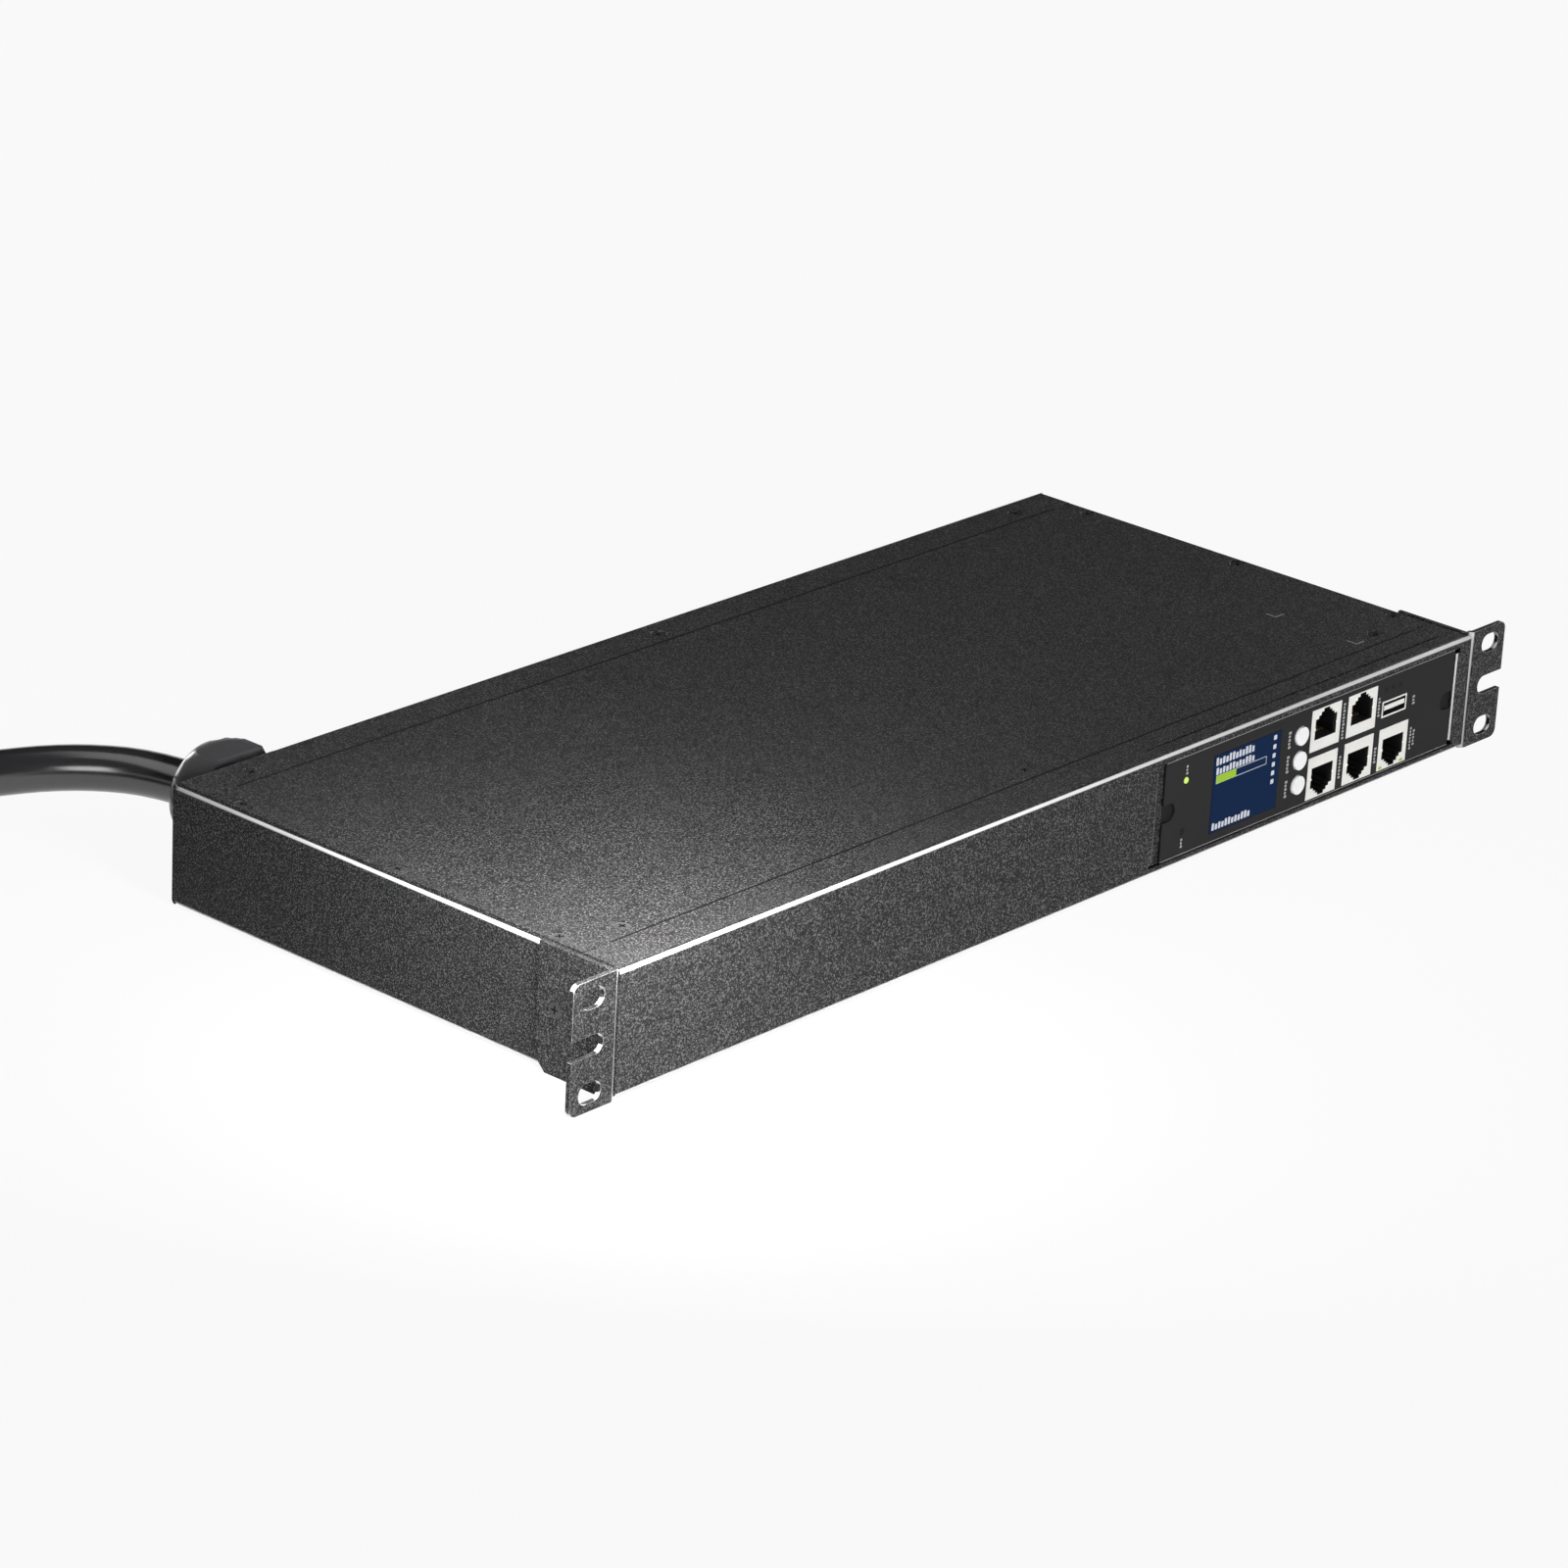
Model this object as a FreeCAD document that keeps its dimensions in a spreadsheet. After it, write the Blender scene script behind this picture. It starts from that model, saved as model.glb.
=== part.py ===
import FreeCAD, Part
import math
import os
import re

import Sketcher
from FreeCAD import Placement, Rotation, Vector

# A 1U rack power distribution unit: a folded steel case with rack ears, a front
# module with screen, buttons and jacks, outlets and breakers at the back, and a
# mains cord that leaves through a gland. X runs along the rack, Y into it, Z up.
# The origin is the centre of the ear hole pattern, on the plane of the rack rails.

doc = FreeCAD.newDocument("RackPowerUnit")
sheet = doc.addObject("Spreadsheet::Sheet", "Sizes")

SIZES = [
    ("case_width", 441.3, "case, over the side walls"),
    ("case_depth", 200.6, "case, front face to rear face"),
    ("case_height", 42.8, "case, bottom to top"),
    ("case_sheet", 1.2, "steel of case and cover"),
    ("bend_inside", 0.6, "inside radius of the folds"),
    ("flange_width", 11.6, "top flanges of the side walls"),
    ("front_strip", 17.0, "front panel's top and bottom strips, from the front face"),
    ("rear_strip", 15.8, "rear panel's strips, from the rear face"),
    ("seam_gap", 0.4, "open seams round the cover and at the floor"),
    ("strip_inset", 1.25, "cover and strips stay this far inside the case sides"),
    ("tongue_depth", 13.0, "joggled tongues beyond their strips"),
    ("tongue_inset", 13.15, "tongue ends stay this far inside the case sides"),
    ("outer_screw_inset", 25.65, "outer case screws, from the case sides"),
    ("front_screw_inset", 23.8, "front row of case screws, from the front face"),
    ("rear_screw_inset", 9.6, "rear strip screws, from the rear face"),
    ("side_screw_inset", 5.15, "cover's side screws, from the case sides"),
    ("side_screw_first", 31.0, "first side screw, from the front face"),
    ("side_screw_last", 27.8, "last side screw, from the rear face"),
    ("screw_head", 6.0, "countersunk heads"),
    ("screw_shank", 2.9, "screw shanks, across their corners"),
    ("screw_length", 5.0, "screws, over all"),
    ("screw_sink", 0.25, "screw heads below the steel's face"),
    ("screw_play", 0.05, "radial play round heads and shanks"),
    ("ear_reach", 20.65, "rack ears, beyond the case sides"),
    ("ear_height", 44.4, "rack ears"),
    ("ear_thick", 1.8, "steel of the ears"),
    ("ear_leg", 32.8, "ear legs along the case, from the front face"),
    ("ear_corner", 3.0, "rounded corners of the ears"),
    ("ear_leg_corner", 4.0, "cut corner at the low rear end of a leg"),
    ("slot_inset", 8.75, "rack slots' middles, from the ears' outer edges"),
    ("rack_pitch_z", 31.75, "rack holes, up and down"),
    ("rack_slot_width", 7.0, "rack slots"),
    ("rack_slot_length", 10.0, "rack slots"),
    ("open_slot_depth", 14.0, "open middle slots, from the ear's outer edge"),
    ("ear_screw_inset", 25.6, "ear screws, from the front face"),
    ("bay_side", 8.15, "module bay's right edge, from the case side"),
    ("bay_end", 25.7, "module bay's right edge, from the last jack"),
    ("bay_start", 16.2, "module bay's left edge, from the reset pinhole"),
    ("bay_low", 18.9, "module bay's lower edge, below the middle"),
    ("bay_high", 18.3, "module bay's upper edge, above the middle"),
    ("bay_lip", 6.0, "lips turned in at the bay's sides"),
    ("bay_relief", 2.0, "square reliefs at the bay's corners"),
    ("bay_slot_inset", 7.0, "thin slot above the bay, from the front face"),
    ("bay_slot_width", 0.8, "thin slot above the bay"),
    ("module_gap", 0.3, "gap round the module"),
    ("module_sheet", 1.0, "steel of the module's carrier"),
    ("module_depth", 42.0, "module carrier's side flanges"),
    ("plate_recess", 0.6, "faceplate, behind the front face"),
    ("plate_thick", 0.8, "faceplate"),
    ("plate_margin", 4.3, "carrier showing left of the faceplate"),
    ("grip_radius", 3.3, "thumb notches at the plate's ends"),
    ("grip_depth", 6.8, "thumb notches at the plate's ends"),
    ("grip_drop", 0.9, "thumb notches below the middle"),
    ("board_front", 13.0, "front of the controller board, from the rail plane"),
    ("board_thick", 1.6, "circuit boards"),
    ("screen_step", 30.25, "screen's middle, from the buttons"),
    ("screen_drop", 0.9, "screen's middle, below the case's middle"),
    ("screen_width", 37.3, "screen glass"),
    ("screen_height", 28.8, "screen glass"),
    ("screen_rim", 2.0, "screen frame beyond its glass"),
    ("screen_frame", 4.4, "screen frame, front to back"),
    ("window_play", 0.15, "play round screen, jacks and port"),
    ("button_step", 14.0, "buttons, in one column, from the first jacks"),
    ("button_drop", 0.9, "middle button below the case's middle"),
    ("button_pitch", 9.15, "buttons, up and down"),
    ("button_cap", 6.8, "button caps"),
    ("button_collar", 8.4, "square collars that keep the buttons in"),
    ("button_proud", 0.8, "button caps beyond the faceplate"),
    ("button_play", 0.3, "radial play round caps and stems"),
    ("button_stem", 3.0, "button stems, square"),
    ("switch_side", 6.0, "tactile switches"),
    ("switch_height", 3.5, "tactile switches, from the board"),
    ("switch_entry", 1.0, "stems enter the switches by this at rest"),
    ("reset_step", 33.9, "reset pinhole, from the screen's middle"),
    ("reset_drop", 10.1, "reset pinhole below the middle"),
    ("pinhole", 2.4, "reset pinhole and status light"),
    ("light_rise", 8.8, "status light above the middle"),
    ("plunger", 1.8, "reset plunger"),
    ("jack_pitch", 20.95, "first jacks to the second ones"),
    ("jack_last_step", 20.45, "second jacks to the last one"),
    ("jack_rise", 8.0, "upper jacks above the middle"),
    ("jack_drop", 9.85, "lower jacks below the middle"),
    ("jack_width", 16.9, "network jacks"),
    ("jack_height", 15.7, "network jacks"),
    ("jack_proud", 0.1, "jacks and port beyond the faceplate"),
    ("jack_mouth", 12.2, "jack openings"),
    ("jack_mouth_height", 7.7, "jack openings, without the latch notch"),
    ("jack_bar", 4.2, "plain bar beside a jack opening"),
    ("jack_bore", 12.5, "depth of the jack openings"),
    ("jack_step", 1.1, "steps of the latch notch"),
    ("port_shift", 1.2, "serial port, left of the last jack"),
    ("port_rise", 5.55, "serial port above the middle"),
    ("port_width", 14.4, "serial port"),
    ("port_height", 6.1, "serial port"),
    ("port_wall", 0.6, "serial port's shell"),
    ("port_tongue", 1.8, "serial port's tongue"),
    ("dot_shift", 1.3, "middle one of three small holes, left of the port's middle"),
    ("dot_rise", 12.9, "small holes above the middle"),
    ("dot_pitch", 4.1, "small holes, sideways"),
    ("dot_dia", 1.8, "small holes"),
    ("bank_inset", 75.65, "first breaker's middle, from the case side"),
    ("bank_end", 25.65, "last outlet's middle, from the case side"),
    ("bank_gap", 30.0, "next breaker, from the large outlet before it"),
    ("outlet_start", 27.5, "first small outlet, from its breaker"),
    ("outlet_pitch", 31.0, "small outlets"),
    ("large_step", 34.5, "large outlet, from the last small one"),
    ("small_core_width", 22.4, "small outlet's core"),
    ("small_core_height", 14.8, "small outlet's core"),
    ("large_core_width", 27.0, "large outlet's core"),
    ("large_core_height", 17.6, "large outlet's core"),
    ("shroud_gap", 2.1, "ring groove round an outlet's core"),
    ("outlet_wall", 1.0, "outlet's wall outside the groove"),
    ("outlet_flange", 1.0, "outlet's flange beyond its body"),
    ("flange_thick", 1.5, "flanges of outlets and breakers"),
    ("outlet_depth", 24.0, "outlets, behind the rear face"),
    ("groove_depth", 16.0, "ring groove and contact slots"),
    ("core_chamfer", 4.5, "cut corners of an outlet's core"),
    ("contact_width", 2.4, "contact slots"),
    ("contact_length", 4.8, "contact slots"),
    ("cutout_play", 0.2, "rear panel round outlets and breakers"),
    ("breaker_width", 18.0, "breaker body"),
    ("breaker_height", 30.0, "breaker body"),
    ("breaker_depth", 38.0, "breaker body, behind the rear face"),
    ("breaker_flange", 1.6, "breaker flange beyond its body"),
    ("rocker_width", 11.4, "rocker"),
    ("rocker_reach", 9.2, "rocker, from its middle to an end"),
    ("rocker_rise", 1.9, "rocker ends above its middle"),
    ("rocker_window", 10.7, "half the window that the rocker moves in"),
    ("rocker_side_play", 0.3, "rocker to its window, sideways"),
    ("rocker_pivot", 4.0, "rocker pin behind the breaker's face"),
    ("rocker_pin", 2.4, "rocker pin"),
    ("rocker_pin_play", 0.05, "radial play of the pin"),
    ("rocker_tilt", 12.0, "rocker's tilt at rest, in degrees"),
    ("gland_inset", 40.35, "gland's middle, from the case side"),
    ("gland_flats", 35.0, "gland hexagons, across flats"),
    ("gland_thread", 28.3, "gland thread"),
    ("gland_flange", 6.0, "fixed hexagon of the gland"),
    ("gland_bore", 17.0, "gland's passage"),
    ("gland_tail", 13.0, "thread inside the case"),
    ("nut_start", 11.4, "dome nut's near end, from the rear face"),
    ("nut_hex_end", 20.7, "dome nut's hexagon ends here"),
    ("nut_end", 30.4, "dome nut's mouth"),
    ("nut_mouth", 18.2, "dome nut's opening"),
    ("seal_outside", 22.0, "gland's rubber insert"),
    ("seal_length", 11.0, "gland's rubber insert"),
    ("lock_nut_flats", 33.0, "lock nut inside the case"),
    ("lock_nut_thick", 5.0, "lock nut inside the case"),
    ("thread_play", 0.05, "radial play between threads"),
    ("cord_dia", 15.8, "mains cord"),
    ("coil_x", -383.8, "coil's middle"),
    ("coil_y", 263.3, "coil's middle"),
    ("coil_outer", 98.0, "outer turns, at the cord's middle"),
    ("coil_inner", 66.0, "inner turns, at the cord's middle"),
    ("plug_dia", 47.4, "plug body"),
    ("plug_length", 52.0, "plug body"),
    ("plug_start", 195.0, "plug's cord end, along Y"),
    ("plug_grip", 32.0, "cord clamp of the plug"),
    ("plug_grip_length", 20.0, "cord clamp of the plug"),
    ("plug_face_thick", 5.0, "plug's front disc"),
    ("blade_circle", 25.0, "plug blades' outer diameter"),
    ("blade_thick", 2.0, "plug blades"),
    ("blade_length", 17.0, "plug blades beyond the disc"),
    ("blade_arc", 38.0, "plug blades, in degrees"),
    ("stud_inset", 13.65, "earth stud, from the case side"),
    ("stud_rise", 11.0, "earth stud, above the middle"),
    ("stud_dia", 5.0, "earth stud"),
    ("stud_length", 12.0, "earth stud beyond the rear face"),
    ("stud_head", 2.0, "earth stud's head inside"),
    ("stud_nut", 8.0, "earth nut, across flats"),
    ("stud_nut_thick", 4.0, "earth nut"),
    ("stud_neck", 4.2, "earth stud's neck, through the panel and the nut"),
    ("stud_neck_end", 0.5, "neck beyond the nut"),
    ("bar_height", 3.0, "bus bars"),
    ("bar_thick", 1.5, "bus bars"),
    ("bar_pitch", 6.0, "bus bars, up and down"),
    ("post_dia", 5.0, "board posts"),
    ("post_height", 6.0, "board posts on the floor"),
    ("board_inset", 85.65, "boards' left edges, from the case side"),
    ("meter_gap", 10.8, "metering board, in front of the breakers"),
    ("meter_depth", 50.0, "metering board, front to back"),
    ("meter_end", 25.65, "metering board's right edge, from the case side"),
    ("supply_gap", 15.0, "power supply board, in front of the metering board"),
    ("supply_depth", 40.0, "power supply board, front to back"),
    ("supply_width", 90.0, "power supply board"),
    ("terminal_gap", 41.8, "mains terminal block, in front of the gland's tail"),
    ("terminal_width", 40.0, "mains terminal block"),
    ("terminal_depth", 24.0, "mains terminal block"),
    ("terminal_height", 20.0, "mains terminal block"),
    ("sensor_side", 20.0, "square current sensors"),
    ("sensor_window", 10.0, "windows of the current sensors"),
    ("sensor_thick", 9.0, "current sensors"),
]

for row, (alias, number, meaning) in enumerate(SIZES, start=1):
    sheet.set("A%d" % row, meaning)
    sheet.set("B%d" % row, str(number))
    sheet.setAlias("B%d" % row, alias)
doc.recompute()

ALIASES = {alias for alias, number, meaning in SIZES}
HEAD_SIDES = 12
SHANK_SIDES = 6
GLAND_SIDES = 20
PLUG_SIDES = 32
PIN_SIDES = 8
CAP_SIDES = 20
COIL_SIDES = 40
CORD_SIDES = 16
SLOT_STEPS = 8
WORD = re.compile(r"[a-z][a-z_0-9]*")
NODES = []

# Places that many pieces share, as formulas over the sheet.
SIDE = "(case_width / 2)"
TOP = "(case_height / 2)"
FRONT = "(0 - ear_thick)"
BACK = "(case_depth - ear_thick)"
FLOOR = "(case_sheet - case_height / 2)"
BAY_RIGHT = f"({SIDE} - bay_side)"
JACK_XS = [f"({BAY_RIGHT} - bay_end - jack_width / 2)"]
JACK_XS.insert(0, f"({JACK_XS[0]} - jack_last_step)")
JACK_XS.insert(0, f"({JACK_XS[0]} - jack_pitch)")
BUTTON_X = f"({JACK_XS[0]} - button_step)"
SCREEN_X = f"({BUTTON_X} - screen_step)"
RESET_X = f"({SCREEN_X} - reset_step)"
BAY_LEFT = f"({RESET_X} - bay_start)"
PORT_X = f"({JACK_XS[2]} - port_shift)"
PLATE = "(plate_recess - ear_thick)"
CARRIER = "(plate_recess + plate_thick - ear_thick)"
GROUND = "(0 - ear_height / 2)"
EAR_TIP = f"({SIDE} + ear_reach)"
GLAND_X = f"(gland_inset - {SIDE})"
STUD_X = f"(stud_inset - {SIDE})"
METER_FRONT = f"({BACK} - breaker_depth - meter_gap - meter_depth)"
SUPPLY_FRONT = f"({METER_FRONT} - supply_gap - supply_depth)"
BOARD_LEFT = f"(board_inset - {SIDE})"


def size(alias):
    return float(sheet.get(alias))


def formula(text):
    """A formula whose size names point at the sheet."""

    def point(found):
        word = found.group(0)
        return "Sizes." + word if word in ALIASES else word

    return WORD.sub(point, text)


def bind(thing, prop, text):
    thing.setExpression(prop, formula(str(text)))


def keep(thing, label):
    """Marks a finished sub-part, which gets its own file."""
    thing.Label = label
    NODES.append(thing)
    return thing


# Sketches and features of the folded, moulded and turned pieces.


def new_body(label):
    body = doc.addObject("PartDesign::Body", label)
    return keep(body, label)


def sketch_on(body, role, offset):
    """A sketch on an origin plane of its body, moved along the plane's normal."""
    sketch = body.newObject("Sketcher::SketchObject", "Sketch")
    plane = next(item for item in body.Origin.OriginFeatures if item.Role == role)
    sketch.AttachmentSupport = [(plane, "")]
    sketch.MapMode = "FlatFace"
    bind(sketch, "AttachmentOffset.Base.z", offset)
    return sketch


def front_sketch(body, y):
    """Drawn in X and Z at a depth y; pockets run into the rack."""
    return sketch_on(body, "XZ_Plane", "0 - (%s)" % y)


def flat_sketch(body, z):
    """Drawn in X and Y at a height z; pockets run down."""
    return sketch_on(body, "XY_Plane", z)


def side_sketch(body, x="0"):
    """Drawn in Y and Z."""
    return sketch_on(body, "YZ_Plane", x)


def pin_point(sketch, geometry, point, across, up):
    for kind, text in (("DistanceX", across), ("DistanceY", up)):
        constraint = sketch.addConstraint(Sketcher.Constraint(kind, -1, 1, geometry, point, 1.0))
        bind(sketch, "Constraints[%d]" % constraint, text)


def outline(sketch, corners):
    """A closed outline with every corner tied to the sheet."""
    first = sketch.GeometryCount
    count = len(corners)
    ring = [
        Vector(9 * math.cos(math.tau * i / count), 9 * math.sin(math.tau * i / count), 0)
        for i in range(count)
    ]
    for i in range(count):
        sketch.addGeometry(Part.LineSegment(ring[i], ring[(i + 1) % count]), False)
    for i in range(count):
        following = first + (i + 1) % count
        sketch.addConstraint(Sketcher.Constraint("Coincident", first + i, 2, following, 1))
    for i, (across, up) in enumerate(corners):
        pin_point(sketch, first + i, 1, across, up)


def rectangle(sketch, left, low, right, high):
    outline(sketch, [(left, low), (right, low), (right, high), (left, high)])


def centred_rectangle(sketch, across, up, width, height):
    left = f"({across}) - ({width}) / 2"
    right = f"({across}) + ({width}) / 2"
    rectangle(sketch, left, f"({up}) - ({height}) / 2", right, f"({up}) + ({height}) / 2")


def circle(sketch, across, up, diameter):
    geometry = sketch.addGeometry(Part.Circle(Vector(0, 0, 0), Vector(0, 0, 1), 2.0), False)
    pin_point(sketch, geometry, 3, across, up)
    constraint = sketch.addConstraint(Sketcher.Constraint("Diameter", geometry, 4.0))
    bind(sketch, "Constraints[%d]" % constraint, diameter)


def polygon(sketch, across, up, diameter, sides, start=0):
    """A small round hole with a few flat sides."""
    reach = f"({diameter}) / 2"
    corners = []
    for i in range(sides):
        angle = start + 360 / sides * i
        corners.append((f"{across} + {reach} * cos({angle})", f"{up} + {reach} * sin({angle})"))
    outline(sketch, corners)


def slot(sketch, across, up, length, width):
    """A level slot with round ends."""
    reach = f"(({length}) - ({width})) / 2"
    ends = []
    for sign in (-1, 1):
        start = math.pi / 2 if sign < 0 else -math.pi / 2
        round_end = Part.Circle(Vector(3 * sign, 0, 0), Vector(0, 0, 1), 2.0)
        arc = Part.ArcOfCircle(round_end, start, start + math.pi)
        geometry = sketch.addGeometry(arc, False)
        pin_point(sketch, geometry, 3, f"({across}) + ({sign}) * {reach}", up)
        constraint = sketch.addConstraint(Sketcher.Constraint("Radius", geometry, 2.0))
        bind(sketch, "Constraints[%d]" % constraint, f"({width}) / 2")
        for point in (1, 2):
            sketch.addConstraint(Sketcher.Constraint("Vertical", geometry, point, geometry, 3))
        ends.append(geometry)
    left, right = ends
    for near, far, height in (((left, 1), (right, 2), 2), ((left, 2), (right, 1), -2)):
        line = Part.LineSegment(Vector(-3, height, 0), Vector(3, height, 0))
        geometry = sketch.addGeometry(line, False)
        sketch.addConstraint(Sketcher.Constraint("Coincident", geometry, 1, near[0], near[1]))
        sketch.addConstraint(Sketcher.Constraint("Coincident", geometry, 2, far[0], far[1]))


def flat_slot(sketch, across, up, length, width):
    """A level slot whose round ends have a few flat sides."""
    reach = f"(({length}) - ({width})) / 2"
    corners = []
    for sign in (1, -1):
        for step in range(SLOT_STEPS + 1):
            angle = 180 / SLOT_STEPS * step - 90 * sign
            x = f"({across}) + ({sign}) * {reach} + ({width}) / 2 * cos({angle})"
            corners.append((x, f"({up}) + ({width}) / 2 * sin({angle})"))
    outline(sketch, corners)


def pad(body, sketch, length, way="normal"):
    feature = body.newObject("PartDesign::Pad", "Pad")
    feature.Profile = sketch
    bind(feature, "Length", length)
    feature.Reversed = way == "back"
    if way == "both":
        feature.SideType = "Symmetric"
    return feature


def pocket(body, sketch, length, way="normal"):
    feature = body.newObject("PartDesign::Pocket", "Pocket")
    feature.Profile = sketch
    bind(feature, "Length", length)
    feature.Reversed = way == "back"
    if way == "both":
        feature.SideType = "Symmetric"
    return feature


def sunk_holes(body, sketch, way="normal"):
    """Countersunk holes through the steel, for heads drawn at its face."""
    feature = pocket(body, sketch, "case_sheet + 0.2", way)
    feature.TaperAngle = -45
    return feature


def sunk_hole(sketch, across, up):
    polygon(sketch, across, up, "screw_head + 2 * screw_play", HEAD_SIDES)


def shank_hole(sketch, across, up, start=0):
    polygon(sketch, across, up, "screw_shank + 2 * screw_play", SHANK_SIDES, start)


def edges_at(shape, along, x=None, y=None, z=None):
    """Names of the straight edges along an axis that lie at the given places."""
    found = []
    for number, edge in enumerate(shape.Edges, start=1):
        if edge.Curve.TypeId != "Part::GeomLine":
            continue
        run = edge.tangentAt(edge.FirstParameter)
        if abs(abs(run.dot(along)) - 1) > 1e-6:
            continue
        middle = edge.CenterOfMass
        places = ((x, middle.x), (y, middle.y), (z, middle.z))
        if all(want is None or abs(want - have) < 1e-3 for want, have in places):
            found.append("Edge%d" % number)
    return found


def fillet(body, picks, radius):
    """Rounds the edges that each pick, a dictionary for edges_at, finds."""
    doc.recompute()
    base = body.Tip
    names = [name for pick in picks for name in edges_at(base.Shape, **pick)]
    feature = body.newObject("PartDesign::Fillet", "Fillet")
    feature.Base = (base, names)
    bind(feature, "Radius", radius)
    return feature


def chamfer(body, picks, width):
    doc.recompute()
    base = body.Tip
    names = [name for pick in picks for name in edges_at(base.Shape, **pick)]
    feature = body.newObject("PartDesign::Chamfer", "Chamfer")
    feature.Base = (base, names)
    bind(feature, "Size", width)
    return feature


# Primitives and booleans of the plainer pieces.

TURNS = {
    "Z": Rotation(),
    "Y": Rotation(Vector(1, 0, 0), -90),
    "-Y": Rotation(Vector(1, 0, 0), 90),
    "X": Rotation(Vector(0, 1, 0), 90),
    "-X": Rotation(Vector(0, 1, 0), -90),
    "-Z": Rotation(Vector(1, 0, 0), 180),
}
AXIS_X = Vector(1, 0, 0)
AXIS_Y = Vector(0, 1, 0)
AXIS_Z = Vector(0, 0, 1)


def put(thing, place, way="Z"):
    thing.Placement = Placement(Vector(0, 0, 0), TURNS[way])
    for axis, text in zip("xyz", place):
        bind(thing, "Placement.Base." + axis, text)


def block(left, right, front, back, low, high, name="Block"):
    thing = doc.addObject("Part::Box", name)
    bind(thing, "Length", f"({right}) - ({left})")
    bind(thing, "Width", f"({back}) - ({front})")
    bind(thing, "Height", f"({high}) - ({low})")
    put(thing, (left, front, low))
    return thing


def rod(place, way, diameter, length, name="Rod", sweep=360):
    thing = doc.addObject("Part::Cylinder", name)
    bind(thing, "Radius", f"({diameter}) / 2")
    bind(thing, "Height", length)
    bind(thing, "Angle", sweep)
    put(thing, place, way)
    return thing


def cone(place, way, start, end, length, name="Cone"):
    thing = doc.addObject("Part::Cone", name)
    bind(thing, "Radius1", f"({start}) / 2")
    bind(thing, "Radius2", f"({end}) / 2")
    bind(thing, "Height", length)
    put(thing, place, way)
    return thing


def hexagon(place, way, flats, length, name="Hexagon"):
    """A hexagonal prism with flats above and below."""
    thing = doc.addObject("Part::Prism", name)
    thing.Polygon = 6
    bind(thing, "Circumradius", f"({flats}) / 2 / cos(30)")
    bind(thing, "Height", length)
    put(thing, place, way)
    return thing


def prism(place, way, diameter, length, sides, name="Prism"):
    """A bar with flat sides, measured across its corners."""
    thing = doc.addObject("Part::Prism", name)
    thing.Polygon = sides
    bind(thing, "Circumradius", f"({diameter}) / 2")
    bind(thing, "Height", length)
    put(thing, place, way)
    return thing


def shifted(place, way, distance):
    """The place that lies a distance further along the way."""
    moved = list(place)
    axis = "XYZ".index(way[-1])
    sign = "-1" if "-" in way else "1"
    moved[axis] = f"{place[axis]} + ({sign}) * ({distance})"
    return tuple(moved)


def frustum(place, way, wide, narrow, length, sides, name="Frustum"):
    """A bar with flat sides that changes from one diameter to another."""
    ring = doc.addObject("Part::RegularPolygon", "Ring")
    ring.Polygon = sides
    bind(ring, "Circumradius", f"({wide}) / 2")
    put(ring, place, way)
    thing = doc.addObject("Part::Extrusion", name)
    thing.Base = ring
    thing.DirMode = "Normal"
    thing.Solid = True
    bind(thing, "LengthFwd", length)
    step = f"(({narrow}) - ({wide})) / 2 * cos({180 / sides})"
    bind(thing, "TaperAngle", f"atan({step} / ({length}))")
    return thing


def turned(centre, steps, sides, label):
    """A form along +Y through rings of flat sides, each (y, diameter)."""
    rings = []
    for y, diameter in steps:
        ring = []
        for i in range(sides):
            angle = math.tau * i / sides
            across, up = math.cos(angle) * diameter / 2, math.sin(angle) * diameter / 2
            ring.append(Vector(centre[0] + across, y, centre[1] + up))
        rings.append(ring)
    outlines = [rings[0], rings[-1]]
    for near, far in zip(rings, rings[1:]):
        for i in range(sides):
            following = (i + 1) % sides
            outlines.append([near[i], near[following], far[following], far[i]])
    faces = [Part.Face(Part.makePolygon(points + points[:1])) for points in outlines]
    solid = Part.Solid(Part.Shell(faces))
    if solid.Volume < 0:
        solid.reverse()
    thing = doc.addObject("Part::Feature", label)
    thing.Shape = solid
    return thing


def fuse(things, name="Join"):
    if len(things) == 1:
        return things[0]
    thing = doc.addObject("Part::MultiFuse", name)
    thing.Shapes = things
    thing.Refine = True
    return thing


def cut(base, tools, name="Cut"):
    thing = doc.addObject("Part::Cut", name)
    thing.Base = base
    thing.Tool = fuse(tools)
    thing.Refine = True
    return thing


def group(label, pieces):
    """Like pieces that share one file."""
    thing = doc.addObject("Part::Compound", label)
    thing.Links = pieces
    return keep(thing, label)


def screws(places, way):
    """Countersunk screws, with heads a little below the given places."""
    pieces = []
    for place in places:
        at = shifted(place, way, "screw_sink")
        wide, narrow = "screw_head - 2 * screw_sink", "screw_head - 2 * case_sheet"
        head = frustum(at, way, wide, narrow, "case_sheet - screw_sink", HEAD_SIDES, "Head")
        shank = prism(at, way, "screw_shank", "screw_length", SHANK_SIDES, "Shank")
        pieces.append(fuse([head, shank], "Screw"))
    return pieces


# Where the case screws stand, shared by every sheet that they pass.

SCREW_XS = [f"({step}) * ({SIDE} - outer_screw_inset)" for step in (-1, 0, 1)]
FRONT_ROW = f"({FRONT} + front_screw_inset)"
REAR_ROW = f"({BACK} - rear_screw_inset)"
SIDE_RUN = "(case_depth - side_screw_first - side_screw_last)"
SIDE_ROWS = [f"({FRONT} + side_screw_first + {step} * {SIDE_RUN} / 2)" for step in range(3)]
SIDE_SCREW = f"({SIDE} - side_screw_inset)"
EAR_SCREW = f"({FRONT} + ear_screw_inset)"


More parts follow.
